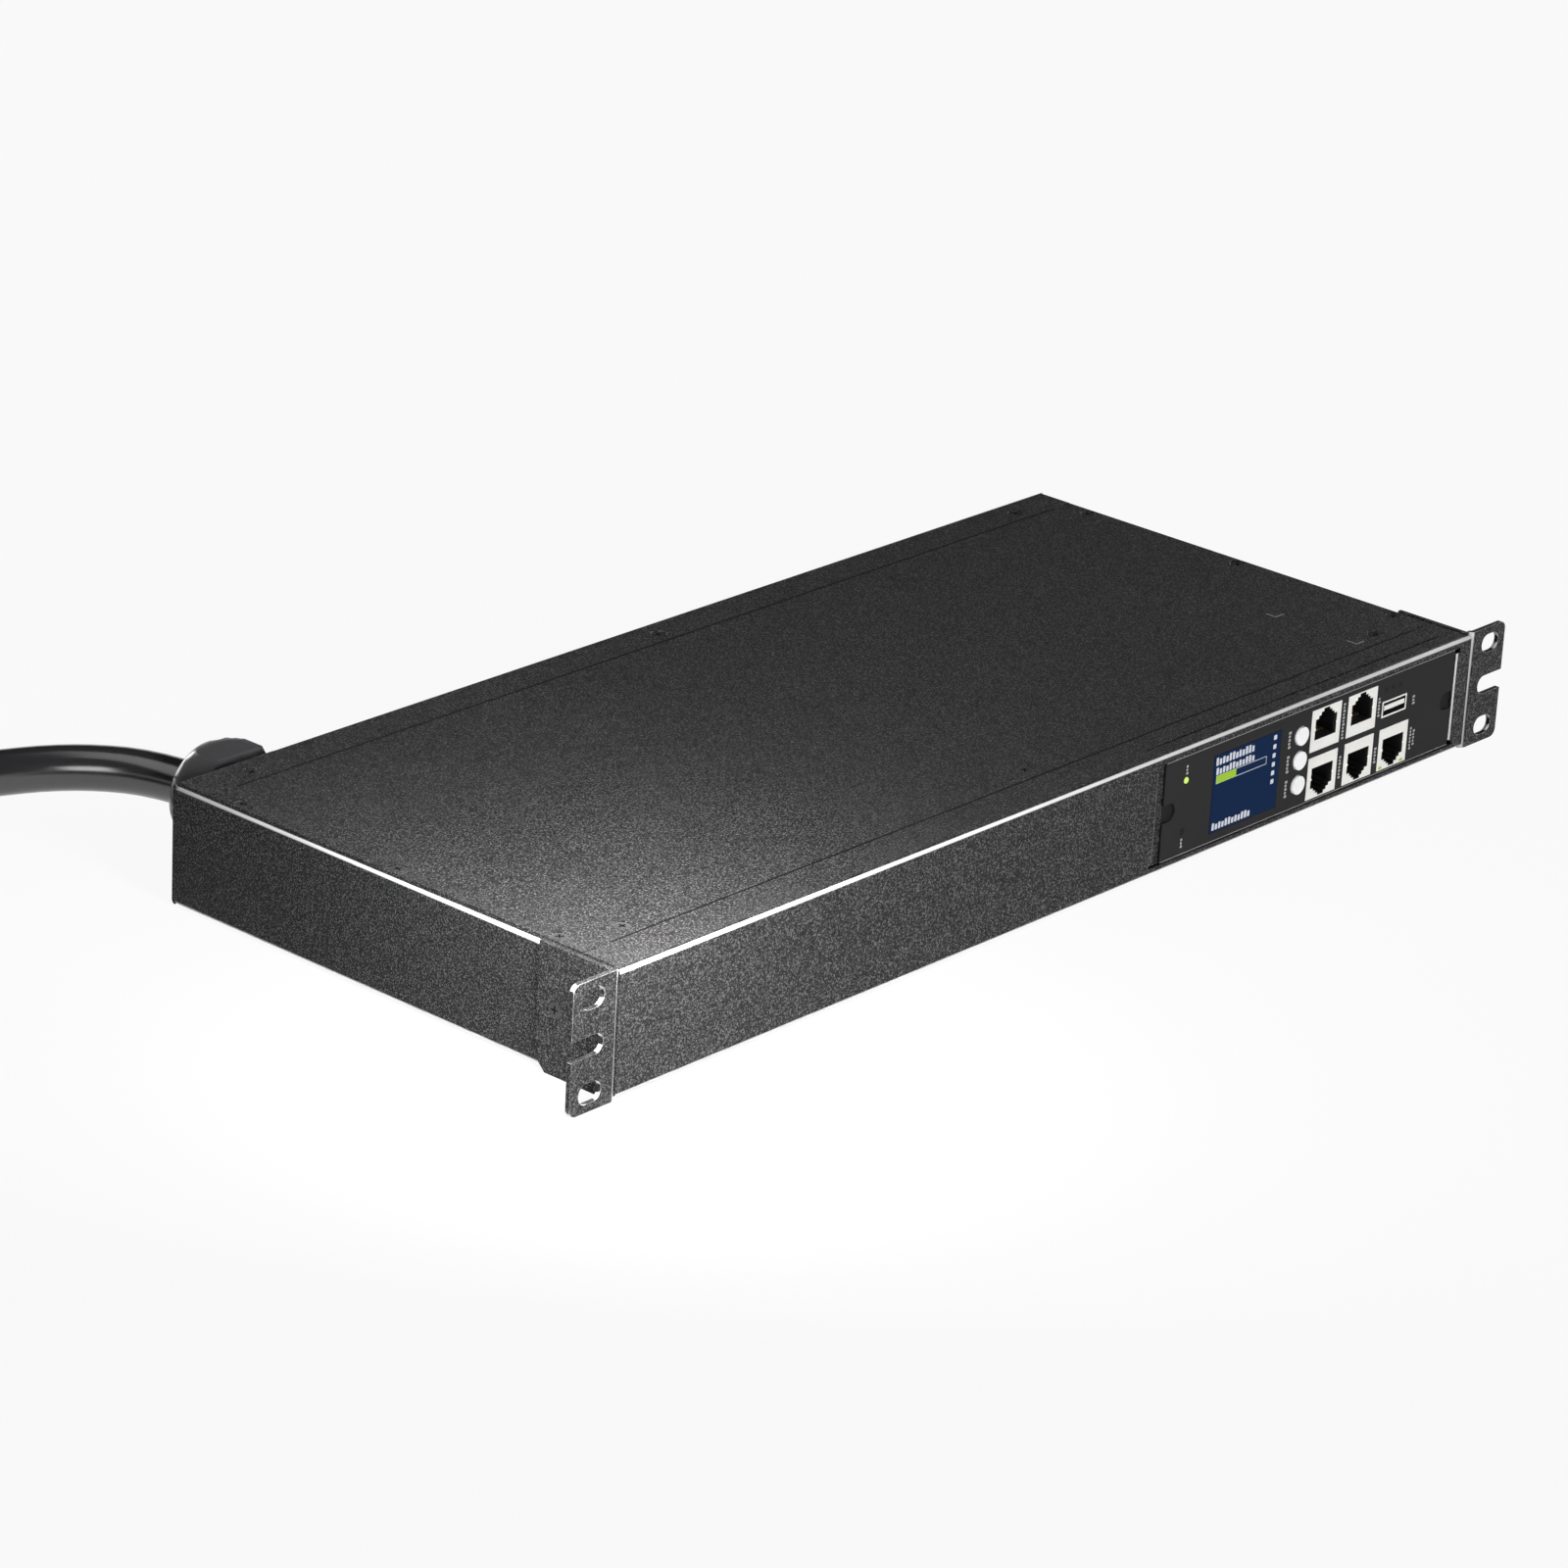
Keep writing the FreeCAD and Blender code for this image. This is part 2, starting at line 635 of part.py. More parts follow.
def make_base_tray():
    """Floor and side walls, with flanges that carry the cover."""
    body = new_body("base_tray")
    high = f"{TOP} - case_sheet"
    inner = f"({SIDE} - case_sheet)"
    flange = f"({SIDE} - flange_width)"
    under = f"{TOP} - 2 * case_sheet"
    section = front_sketch(body, f"{FRONT} + case_sheet")
    outline(
        section,
        [
            (f"0 - {SIDE}", f"0 - {TOP}"),
            (SIDE, f"0 - {TOP}"),
            (SIDE, high),
            (flange, high),
            (flange, under),
            (inner, under),
            (inner, FLOOR),
            (f"0 - {inner}", FLOOR),
            (f"0 - {inner}", under),
            (f"0 - {flange}", under),
            (f"0 - {flange}", high),
            (f"0 - {SIDE}", high),
        ],
    )
    pad(body, section, "case_depth - 2 * case_sheet", "back")
    side, top, steel = size("case_width") / 2, size("case_height") / 2, size("case_sheet")
    outer = [
        dict(along=AXIS_Y, x=sign * side, z=level)
        for sign in (-1, 1)
        for level in (-top, top - steel)
    ]
    fillet(body, outer, "bend_inside + case_sheet")
    inside = [
        dict(along=AXIS_Y, x=sign * (side - steel), z=level)
        for sign in (-1, 1)
        for level in (steel - top, top - 2 * steel)
    ]
    fillet(body, inside, "bend_inside")
    ends = flat_sketch(body, FLOOR)
    gap_front = f"{FRONT} + front_strip + seam_gap"
    gap_rear = f"{BACK} - rear_strip - seam_gap"
    rectangle(ends, f"0 - {inner}", f"{FRONT} - 1", inner, gap_front)
    rectangle(ends, f"0 - {inner}", gap_rear, inner, f"{BACK} + 1")
    pocket(body, ends, "case_sheet")
    threads = flat_sketch(body, high)
    for sign in (-1, 1):
        for row in SIDE_ROWS:
            shank_hole(threads, f"({sign}) * {SIDE_SCREW}", row)
    pocket(body, threads, "case_sheet + 1")
    walls = side_sketch(body)
    shank_hole(walls, EAR_SCREW, "0", 90)
    pocket(body, walls, "case_width + 2", "both")
    return body


def trim_strips(body, near, far):
    """Shortens a panel's strips and tongues at both ends, behind its face."""
    ends = flat_sketch(body, "0")
    for sign in (-1, 1):
        edge = f"({sign}) * ({SIDE} - strip_inset)"
        rectangle(ends, edge, near, f"({sign}) * ({SIDE} + 1)", far)
    pocket(body, ends, "case_height + 2", "both")
    tongues = flat_sketch(body, "0")
    for sign in (-1, 1):
        edge = f"({sign}) * ({SIDE} - tongue_inset)"
        rectangle(tongues, edge, near, f"({sign}) * ({SIDE} + 1)", far)
    pocket(body, tongues, "case_height - 2 * case_sheet", "both")


def bay_edges():
    """The module bay's left and right edges, as numbers."""
    right = size("case_width") / 2 - size("bay_side")
    steps = ["bay_end", "jack_last_step", "jack_pitch", "button_step"]
    steps += ["screen_step", "reset_step", "bay_start"]
    return right - size("jack_width") / 2 - sum(size(step) for step in steps), right


def make_front_panel():
    """Front face with strips and joggled tongues, and the module's bay."""
    body = new_body("front_panel")
    face, back = FRONT, f"{FRONT} + case_sheet"
    step = f"{FRONT} + front_strip"
    web = f"{FRONT} + front_strip - case_sheet"
    end = f"{FRONT} + front_strip + tongue_depth"
    upper = [
        (face, TOP),
        (step, TOP),
        (step, f"{TOP} - case_sheet"),
        (end, f"{TOP} - case_sheet"),
        (end, f"{TOP} - 2 * case_sheet"),
        (web, f"{TOP} - 2 * case_sheet"),
        (web, f"{TOP} - case_sheet"),
        (back, f"{TOP} - case_sheet"),
    ]
    lower = [(depth, f"0 - ({level})") for depth, level in reversed(upper)]
    section = side_sketch(body)
    outline(section, upper + lower)
    pad(body, section, "case_width", "both")
    front, top, steel = -size("ear_thick"), size("case_height") / 2, size("case_sheet")
    outer = [dict(along=AXIS_X, y=front, z=sign * top) for sign in (-1, 1)]
    fillet(body, outer, "bend_inside + case_sheet")
    inside = [dict(along=AXIS_X, y=front + steel, z=sign * (top - steel)) for sign in (-1, 1)]
    fillet(body, inside, "bend_inside")
    trim_strips(body, back, f"{end} + 1")
    bay = front_sketch(body, f"{FRONT} - 1")
    rectangle(bay, BAY_LEFT, "0 - bay_low", BAY_RIGHT, "bay_high")
    pocket(body, bay, "case_sheet + 1 + seam_gap")
    lips = front_sketch(body, back)
    for edge, sign in ((BAY_LEFT, -1), (BAY_RIGHT, 1)):
        outside = f"{edge} + ({sign}) * case_sheet"
        rectangle(lips, edge, "bay_relief - bay_low", outside, "bay_high - bay_relief")
    pad(body, lips, "bay_lip", "back")
    edges = bay_edges()
    fillet(body, [dict(along=AXIS_Z, x=edge, y=front) for edge in edges], "case_sheet * 0.8")
    reliefs = front_sketch(body, f"{FRONT} - 1")
    for edge, sign in ((BAY_LEFT, -1), (BAY_RIGHT, 1)):
        outside = f"{edge} + ({sign}) * bay_relief"
        rectangle(reliefs, edge, "0 - bay_low", outside, "bay_relief - bay_low")
        rectangle(reliefs, edge, "bay_high - bay_relief", outside, "bay_high")
    pocket(body, reliefs, "case_sheet + 1")
    thin = flat_sketch(body, TOP)
    left, right = f"{BAY_LEFT} + bay_relief", f"{BAY_RIGHT} - bay_relief"
    row = f"{FRONT} + bay_slot_inset"
    rectangle(thin, left, row, right, f"{row} + bay_slot_width")
    pocket(body, thin, "case_sheet + 1")
    threads = flat_sketch(body, f"{TOP} - case_sheet")
    for across in SCREW_XS:
        shank_hole(threads, across, FRONT_ROW)
    pocket(body, threads, "case_sheet + 1")
    return body


def bank_count():
    """How many small outlets fit in each of the two banks."""
    room = size("case_width") - size("bank_inset") - size("bank_end") - size("bank_gap")
    rest = room / 2 - size("outlet_start") - size("large_step")
    return 1 + max(0, math.floor(rest / size("outlet_pitch") + 0.001))


SMALL_COUNT = bank_count()
BANK_LENGTH = f"(outlet_start + {SMALL_COUNT - 1} * outlet_pitch + large_step)"
BREAKER_XS = [f"(bank_inset - {SIDE} + {bank} * ({BANK_LENGTH} + bank_gap))" for bank in range(2)]


def outlet_places():
    """Middles of the outlets along X, as (kind, formula)."""
    places = []
    for breaker in BREAKER_XS:
        for step in range(SMALL_COUNT):
            places.append(("small", f"({breaker} + outlet_start + {step} * outlet_pitch)"))
        places.append(("large", f"({breaker} + {BANK_LENGTH})"))
    return places


def outlet_body(kind):
    grow = "2 * (shroud_gap + outlet_wall)"
    return f"({kind}_core_width + {grow})", f"({kind}_core_height + {grow})"


def make_rear_panel():
    """Rear face with strips, cut out for outlets, breakers, gland and stud."""
    body = new_body("rear_panel")
    inner = f"{BACK} - case_sheet"
    step = f"{BACK} - rear_strip"
    web = f"{BACK} - rear_strip + case_sheet"
    end = f"{BACK} - rear_strip - tongue_depth"
    section = side_sketch(body)
    outline(
        section,
        [
            (BACK, f"0 - {TOP}"),
            (BACK, TOP),
            (step, TOP),
            (step, f"{TOP} - case_sheet"),
            (inner, f"{TOP} - case_sheet"),
            (inner, FLOOR),
            (web, FLOOR),
            (web, f"{FLOOR} + case_sheet"),
            (end, f"{FLOOR} + case_sheet"),
            (end, FLOOR),
            (step, FLOOR),
            (step, f"0 - {TOP}"),
        ],
    )
    pad(body, section, "case_width", "both")
    back = size("case_depth") - size("ear_thick")
    top, steel = size("case_height") / 2, size("case_sheet")
    fillet(
        body,
        [dict(along=AXIS_X, y=back, z=sign * top) for sign in (-1, 1)],
        "bend_inside + case_sheet",
    )
    inside = [dict(along=AXIS_X, y=back - steel, z=sign * (top - steel)) for sign in (-1, 1)]
    fillet(body, inside, "bend_inside")
    trim_strips(body, f"{end} - 1", inner)
    holes = front_sketch(body, f"{inner} - 1")
    for kind, across in outlet_places():
        width, height = outlet_body(kind)
        play = "2 * cutout_play"
        centred_rectangle(holes, across, "0", f"{width} + {play}", f"{height} + {play}")
    for across in BREAKER_XS:
        width, height = "breaker_width + 2 * cutout_play", "breaker_height + 2 * cutout_play"
        centred_rectangle(holes, across, "0", width, height)
    polygon(holes, GLAND_X, "0", "gland_thread + 8 * thread_play", GLAND_SIDES)
    polygon(holes, STUD_X, "stud_rise", "stud_dia + 4 * thread_play", SHANK_SIDES)
    pocket(body, holes, "case_sheet + 2")
    above = flat_sketch(body, TOP)
    for across in SCREW_XS:
        sunk_hole(above, across, REAR_ROW)
    sunk_holes(body, above)
    return body


def make_top_cover():
    """Flat cover with a joggled tongue under the rear strip."""
    body = new_body("top_cover")
    front = f"{FRONT} + front_strip + seam_gap"
    step = f"{BACK} - rear_strip - seam_gap"
    web = f"{BACK} - rear_strip - seam_gap - case_sheet"
    end = f"{BACK} - rear_strip + tongue_depth * 0.9"
    under, below = f"{TOP} - case_sheet", f"{TOP} - 2 * case_sheet"
    section = side_sketch(body)
    outline(
        section,
        [
            (front, under),
            (web, under),
            (web, below),
            (end, below),
            (end, under),
            (step, under),
            (step, TOP),
            (front, TOP),
        ],
    )
    pad(body, section, "case_width - 2 * strip_inset", "both")
    tongue = flat_sketch(body, under)
    for sign in (-1, 1):
        edge = f"({sign}) * ({SIDE} - tongue_inset)"
        rectangle(tongue, edge, f"{web} - 1", f"({sign}) * {SIDE}", f"{end} + 1")
    pocket(body, tongue, "case_sheet + 1")
    threads = flat_sketch(body, under)
    for across in SCREW_XS:
        shank_hole(threads, across, REAR_ROW)
    pocket(body, threads, "case_sheet + 1")
    middle = flat_sketch(body, TOP)
    for across in SCREW_XS:
        sunk_hole(middle, across, FRONT_ROW)
    sunk_holes(body, middle)
    for sign in (-1, 1):
        row_of_three = flat_sketch(body, TOP)
        for row in SIDE_ROWS:
            sunk_hole(row_of_three, f"({sign}) * {SIDE_SCREW}", row)
        sunk_holes(body, row_of_three)
    return body


def make_ear(label, sign):
    """Angle bracket: a rack ear in front and a leg along the case."""
    body = new_body(label)
    wall, leg = f"({sign}) * {SIDE}", f"({sign}) * ({SIDE} + ear_thick)"
    tip, end = f"({sign}) * {EAR_TIP}", f"{FRONT} + ear_leg"
    section = flat_sketch(body, "0")
    corners = [(wall, FRONT), (tip, FRONT), (tip, "0"), (leg, "0"), (leg, end), (wall, end)]
    outline(section, corners)
    pad(body, section, "ear_height", "both")
    side, thick, half = size("case_width") / 2, size("ear_thick"), size("ear_height") / 2
    fillet(body, [dict(along=AXIS_Z, x=sign * side, y=-thick)], "bend_inside + ear_thick")
    fillet(body, [dict(along=AXIS_Z, x=sign * (side + thick), y=0)], "bend_inside")
    edge = sign * (side + size("ear_reach"))
    tips = [dict(along=AXIS_Y, x=edge, z=level) for level in (-half, half)]
    fillet(body, tips, "ear_corner")
    leg_top = side_sketch(body)
    rectangle(leg_top, "bend_inside", TOP, f"{end} + 1", "ear_height")
    pocket(body, leg_top, "case_width + 4 * ear_reach", "both")
    low_corner = [dict(along=AXIS_X, y=size("ear_leg") - thick, z=-half)]
    chamfer(body, low_corner, "ear_leg_corner")
    holes = front_sketch(body, f"{FRONT} - 1")
    for level in (-1, 1):
        across, up = f"({sign}) * ({EAR_TIP} - slot_inset)", f"({level}) * rack_pitch_z / 2"
        slot(holes, across, up, "rack_slot_length", "rack_slot_width")
    length = "open_slot_depth + 2 * rack_slot_width"
    across = f"({sign}) * ({EAR_TIP} - open_slot_depth + ({length}) / 2)"
    flat_slot(holes, across, "0", length, "rack_slot_width")
    pocket(body, holes, "ear_thick + 2")
    way = "normal" if sign > 0 else "back"
    sunk = side_sketch(body, leg)
    sunk_hole(sunk, EAR_SCREW, "0")
    sunk_holes(body, sunk, way)
    through = side_sketch(body, leg)
    shank_hole(through, EAR_SCREW, "0", 90)
    pocket(body, through, "ear_thick", way)
    return body


def make_case():
    make_base_tray()
    make_front_panel()
    make_rear_panel()
    make_top_cover()
    make_ear("left_ear", -1)
    make_ear("right_ear", 1)
    above = [(across, row, TOP) for across in SCREW_XS for row in (FRONT_ROW, REAR_ROW)]
    for sign in (-1, 1):
        above += [(f"({sign}) * {SIDE_SCREW}", row, TOP) for row in SIDE_ROWS]
    group("case_screws", screws(above, "-Z"))
    outside = f"({SIDE} + ear_thick)"
    left = screws([(f"0 - {outside}", EAR_SCREW, "0")], "X")
    group("ear_screws", left + screws([(outside, EAR_SCREW, "0")], "-X"))


# The front module: carrier, faceplate and everything that shows through it.

JACKS = [(across, "jack_rise", 1) for across in JACK_XS[:2]]
JACKS += [(across, "(0 - jack_drop)", -1) for across in JACK_XS]
BUTTON_RISES = [f"(({step}) * button_pitch - button_drop)" for step in (1, 0, -1)]
MODULE_LEFT = f"({BAY_LEFT} + module_gap)"
MODULE_RIGHT = f"({BAY_RIGHT} - module_gap)"
MODULE_LOW = "(module_gap - bay_low)"
MODULE_HIGH = "(bay_high - module_gap)"
INSIDE = f"({CARRIER} + module_sheet)"


def cut_screen_window(sketch):
    width, height = "screen_width + 2 * window_play", "screen_height + 2 * window_play"
    centred_rectangle(sketch, SCREEN_X, "0 - screen_drop", width, height)


def make_faceplate():
    """Smooth plate with thumb notches at both ends."""
    body = new_body("module_faceplate")
    sketch = front_sketch(body, PLATE)
    left = f"{MODULE_LEFT} + plate_margin"
    rectangle(sketch, left, MODULE_LOW, MODULE_RIGHT, MODULE_HIGH)
    cut_screen_window(sketch)
    play = "2 * window_play"
    for rise in BUTTON_RISES:
        polygon(sketch, BUTTON_X, rise, "button_cap + 2 * button_play", CAP_SIDES)
    for across, up, latch in JACKS:
        centred_rectangle(sketch, across, up, f"jack_width + {play}", f"jack_height + {play}")
    width, height = f"port_width + {play}", f"port_height + {play}"
    centred_rectangle(sketch, PORT_X, "port_rise", width, height)
    polygon(sketch, RESET_X, "0 - reset_drop", "pinhole", PIN_SIDES)
    polygon(sketch, RESET_X, "light_rise", f"pinhole + {play}", PIN_SIDES)
    for step in (-1, 0, 1):
        across = f"{PORT_X} - dot_shift + ({step}) * dot_pitch"
        polygon(sketch, across, "dot_rise", "dot_dia", PIN_SIDES)
    pad(body, sketch, "plate_thick", "back")
    grips = front_sketch(body, f"{PLATE} - 1")
    reach = "2 * grip_depth"
    for edge in (left, MODULE_RIGHT):
        slot(grips, edge, "0 - grip_drop", reach, "2 * grip_radius")
    pocket(body, grips, "plate_thick + 1")
    return body


def make_module_carrier():
    """Steel carrier: front wall, side flanges and the nibs that hold it."""
    body = new_body("module_carrier")
    end = f"{CARRIER} + module_depth"
    section = flat_sketch(body, "(bay_high - bay_low) / 2")
    outline(
        section,
        [
            (MODULE_LEFT, CARRIER),
            (MODULE_RIGHT, CARRIER),
            (MODULE_RIGHT, end),
            (f"{MODULE_RIGHT} - module_sheet", end),
            (f"{MODULE_RIGHT} - module_sheet", INSIDE),
            (f"{MODULE_LEFT} + module_sheet", INSIDE),
            (f"{MODULE_LEFT} + module_sheet", end),
            (MODULE_LEFT, end),
        ],
    )
    pad(body, section, "bay_high + bay_low - 2 * module_gap", "both")
    windows = front_sketch(body, f"{CARRIER} - 1")
    cut_screen_window(windows)
    wide = "button_cap + 2 * button_play"
    centred_rectangle(windows, BUTTON_X, "0 - button_drop", wide, f"{wide} + 2 * button_pitch")
    jack_half = "(jack_width / 2 + window_play)"
    low = "0 - jack_drop - jack_height / 2 - window_play"
    high = "jack_rise + jack_height / 2 + window_play"
    rectangle(windows, f"{JACK_XS[0]} - {jack_half}", low, f"{JACK_XS[2]} + {jack_half}", high)
    for rise in ("0 - reset_drop", "light_rise"):
        centred_rectangle(windows, RESET_X, rise, "2 * pinhole", "2 * pinhole")
    pocket(body, windows, "module_sheet + 2")
    nibs = front_sketch(body, f"{FRONT} + case_sheet + bay_lip + module_gap")
    for edge, sign in ((MODULE_LEFT, -1), (MODULE_RIGHT, 1)):
        outside = f"{edge} + ({sign}) * case_sheet"
        rectangle(nibs, edge, "0 - bay_lip", outside, "bay_lip")
    pad(body, nibs, "bay_lip / 2", "back")
    return body


def make_jack(number, across, up, latch):
    """Network jack with its stepped latch notch above or below."""
    body = new_body("network_jack_%d" % number)
    front = f"{PLATE} - jack_proud"
    block_face = front_sketch(body, front)
    centred_rectangle(block_face, across, up, "jack_width", "jack_height")
    pad(body, block_face, f"board_front - ({front})", "back")
    base = f"({up}) - ({latch}) * (jack_height / 2 - jack_bar)"
    deep = f"({base}) + ({latch}) * jack_mouth_height"
    mouth = front_sketch(body, front)
    halves = ["jack_mouth / 2", "jack_mouth / 2 - 1.7", "jack_mouth / 2 - 3", "1.7"]
    right = [(halves[0], base), (halves[0], deep)]
    for level, half in enumerate(halves[1:]):
        low = f"({deep}) + ({latch}) * {level} * jack_step"
        right.append((half, low))
        right.append((half, f"({deep}) + ({latch}) * {level + 1} * jack_step"))
    corners = [(f"{across} + ({half})", level) for half, level in right]
    corners += [(f"{across} - ({half})", level) for half, level in reversed(right)]
    outline(mouth, corners)
    pocket(body, mouth, "jack_bore")
    return body


def make_port():
    """Metal shell round a flat tongue."""
    body = new_body("serial_port")
    front = f"{PLATE} - jack_proud"
    face = front_sketch(body, front)
    centred_rectangle(face, PORT_X, "port_rise", "port_width", "port_height")
    pad(body, face, f"board_front - ({front})", "back")
    mouth = front_sketch(body, front)
    width, height = "port_width - 2 * port_wall", "port_height - 2 * port_wall"
    centred_rectangle(mouth, PORT_X, "port_rise", width, height)
    rise = f"port_rise + ({height}) / 2 - port_tongue * 1.1"
    centred_rectangle(mouth, PORT_X, rise, f"{width} - 2 * port_wall", "port_tongue")
    pocket(body, mouth, "jack_bore")
    return body


def make_screen():
    """Glass in the window, in front of a wider frame behind the carrier."""
    body = new_body("screen")
    drop = "0 - screen_drop"
    glass = front_sketch(body, f"{PLATE} + 0.05")
    centred_rectangle(glass, SCREEN_X, drop, "screen_width", "screen_height")
    pad(body, glass, f"{INSIDE} - {PLATE} - 0.05", "back")
    frame = front_sketch(body, INSIDE)
    rim = "2 * screen_rim"
    centred_rectangle(frame, SCREEN_X, drop, f"screen_width + {rim}", f"screen_height + {rim}")
    pad(body, frame, "screen_frame", "back")
    return body


def make_button(number, rise):
    """Round cap, square collar that keeps it in, and square stem."""
    place = f"{PLATE} - button_proud"
    collar = f"{INSIDE} + 0.1"
    at = (BUTTON_X, place, rise)
    cap = prism(at, "Y", "button_cap", f"{collar} - ({place})", CAP_SIDES, "Cap")
    ring = square_bar(BUTTON_X, rise, "button_collar", collar, f"{collar} + 1")
    entry = "board_front - switch_height + switch_entry"
    stem = square_bar(BUTTON_X, rise, "button_stem", collar, entry)
    keep(fuse([cap, ring, stem], "Button"), "menu_button_%d" % number)


def square_bar(across, rise, side, front, back):
    half = f"({side}) / 2"
    left, right = f"{across} - {half}", f"{across} + {half}"
    return block(left, right, front, back, f"{rise} - {half}", f"{rise} + {half}")


def switch_housing(across, rise, bore):
    """A tactile switch with the square hole that its stem moves in."""
    front = "board_front - switch_height"
    case = square_bar(across, rise, "switch_side", front, "board_front")
    hole = square_bar(across, rise, bore, f"{front} - 1", "board_front - 1")
    return cut(case, [hole], "Switch")


def make_controls():
    bore = "button_stem + 2 * button_play"
    housings = [switch_housing(BUTTON_X, rise, bore) for rise in BUTTON_RISES]
    reset_bore = "plunger + 2 * button_play"
    housings.append(switch_housing(RESET_X, "(0 - reset_drop)", reset_bore))
    group("tactile_switches", housings)
    for number, rise in enumerate(BUTTON_RISES, start=1):
        make_button(number, rise)
    tip = "board_front - switch_height - 2 * switch_entry"
    place = (RESET_X, tip, "0 - reset_drop")
    keep(prism(place, "Y", "plunger", "3 * switch_entry", PIN_SIDES), "reset_plunger")
    front = f"{PLATE} - 0.1"
    place = (RESET_X, front, "light_rise")
    keep(prism(place, "Y", "pinhole", f"board_front - ({front})", PIN_SIDES), "status_light")


def make_controller_board():
    left = f"{MODULE_LEFT} + module_sheet + module_gap"
    right = f"{MODULE_RIGHT} - module_sheet - module_gap"
    low, high = f"{MODULE_LOW} + module_gap", f"{MODULE_HIGH} - module_gap"
    board = block(left, right, "board_front", "board_front + board_thick", low, high)
    keep(board, "controller_board")
    inset = "post_dia"
    posts = []
    for across in (f"{left} + {inset}", f"{right} - {inset}"):
        for up in (f"{low} + {inset}", f"{high} - {inset}"):
            length = f"board_front - {INSIDE}"
            posts.append(hexagon((across, INSIDE, up), "Y", "post_dia", length, "Post"))
    group("module_posts", posts)


def make_module():
    make_module_carrier()
    make_faceplate()
    make_screen()
    for number, (across, up, latch) in enumerate(JACKS, start=1):
        make_jack(number, across, up, latch)
    make_port()
    make_controls()
    make_controller_board()


# The rear: outlets, breakers, earth stud and cord gland.


def keyed_outline(sketch, across, width, height, key):
    """A rectangle with its two upper corners cut, as the sockets are keyed."""
    half, rise = f"({width}) / 2", f"({height}) / 2"
    outline(
        sketch,
        [
            (f"{across} - {half}", f"0 - {rise}"),
            (f"{across} + {half}", f"0 - {rise}"),
            (f"{across} + {half}", f"{rise} - ({key})"),
            (f"{across} + {half} - ({key})", rise),
            (f"{across} - {half} + ({key})", rise),
            (f"{across} - {half}", f"{rise} - ({key})"),
        ],
    )


def make_outlet(label, kind, across):
    """Socket outlet: flange, body, ring groove for the plug's shroud, contacts."""
    body = new_body(label)
    width, height = outlet_body(kind)
    flange = front_sketch(body, f"{BACK} + flange_thick")
    grow = "2 * outlet_flange"
    centred_rectangle(flange, across, "0", f"{width} + {grow}", f"{height} + {grow}")
    pad(body, flange, "flange_thick")
    back = body.Tip
    back.Reversed = False
    case = front_sketch(body, f"{BACK} - outlet_depth")
    centred_rectangle(case, across, "0", width, height)
    pad(body, case, "outlet_depth", "back")
    face = front_sketch(body, f"{BACK} + flange_thick")
    core_width, core_height = f"{kind}_core_width", f"{kind}_core_height"
    grow = "2 * shroud_gap"
    key = "core_chamfer + shroud_gap * 0.6"
    keyed_outline(face, across, f"{core_width} + {grow}", f"{core_height} + {grow}", key)
    keyed_outline(face, across, core_width, core_height, "core_chamfer")
    slots = [("0", f"{core_height} * 0.22", 1)]
    slots += [(f"({sign}) * {core_width} * 0.31", f"0 - {core_height} * 0.14", 0) for sign in (-1, 1)]
    for aside, up, upright in slots:
        wide, tall = "contact_width", "contact_length"
        if kind == "large" and not upright:
            wide, tall = tall, wide
        centred_rectangle(face, f"{across} + {aside}", up, wide, tall)
    pocket(body, face, "groove_depth", "back")
    return body


def make_breaker(number, across):
    """Breaker body with the window and bores that its rocker turns in."""
    half, rise = "breaker_width / 2", "breaker_height / 2"
    face = f"({BACK} + flange_thick)"
    case = block(
        f"{across} - {half}",
        f"{across} + {half}",
        f"{BACK} - breaker_depth",
        face,
        f"0 - {rise}",
        rise,
    )
    flange = block(
        f"{across} - {half} - breaker_flange",
        f"{across} + {half} + breaker_flange",
        BACK,
        face,
        f"0 - {rise} - breaker_flange",
        f"{rise} + breaker_flange",
    )
    wide = "(rocker_width / 2 + rocker_side_play)"
    depth = "rocker_pivot * 3"
    window = block(
        f"{across} - {wide}",
        f"{across} + {wide}",
        f"{face} - {depth}",
        f"{face} + 1",
        "0 - rocker_window",
        "rocker_window",
    )
    pin_length = "(rocker_width + 3)"
    bore = rod(
        (f"{across} - {pin_length} / 2 - rocker_side_play", f"{face} - rocker_pivot", "0"),
        "X",
        "rocker_pin + 2 * rocker_pin_play",
        f"{pin_length} + 2 * rocker_side_play",
    )
    keep(cut(fuse([case, flange]), [window, bore]), "breaker_body_%d" % number)
    make_rocker(number, across, pin_length)


def make_rocker(number, across, pin_length):
    """Rocker with a shallow V front, tilted on its pin towards the closed stop."""
    body = new_body("breaker_rocker_%d" % number)
    section = side_sketch(body)
    face = "rocker_pivot"
    outline(
        section,
        [
            (f"{face} + rocker_rise", "0 - rocker_reach"),
            (face, "0"),
            (f"{face} + rocker_rise", "rocker_reach"),
            ("rocker_pivot / 4", "rocker_reach * 0.82"),
            ("0 - rocker_pivot * 0.7", "rocker_reach * 0.35"),
            ("0 - rocker_pivot * 0.7", "0 - rocker_reach * 0.35"),
            ("rocker_pivot / 4", "0 - rocker_reach * 0.82"),
        ],
    )
    pad(body, section, "rocker_width", "both")
    pin = side_sketch(body)
    circle(pin, "0", "0", "rocker_pin")
    pad(body, pin, pin_length, "both")
    body.Placement = Placement(Vector(0, 0, 0), Rotation(AXIS_X, 0))
    bind(body, "Placement.Rotation.Angle", "0 - rocker_tilt")
    bind(body, "Placement.Base.x", across)
    bind(body, "Placement.Base.y", f"{BACK} + flange_thick - rocker_pivot")


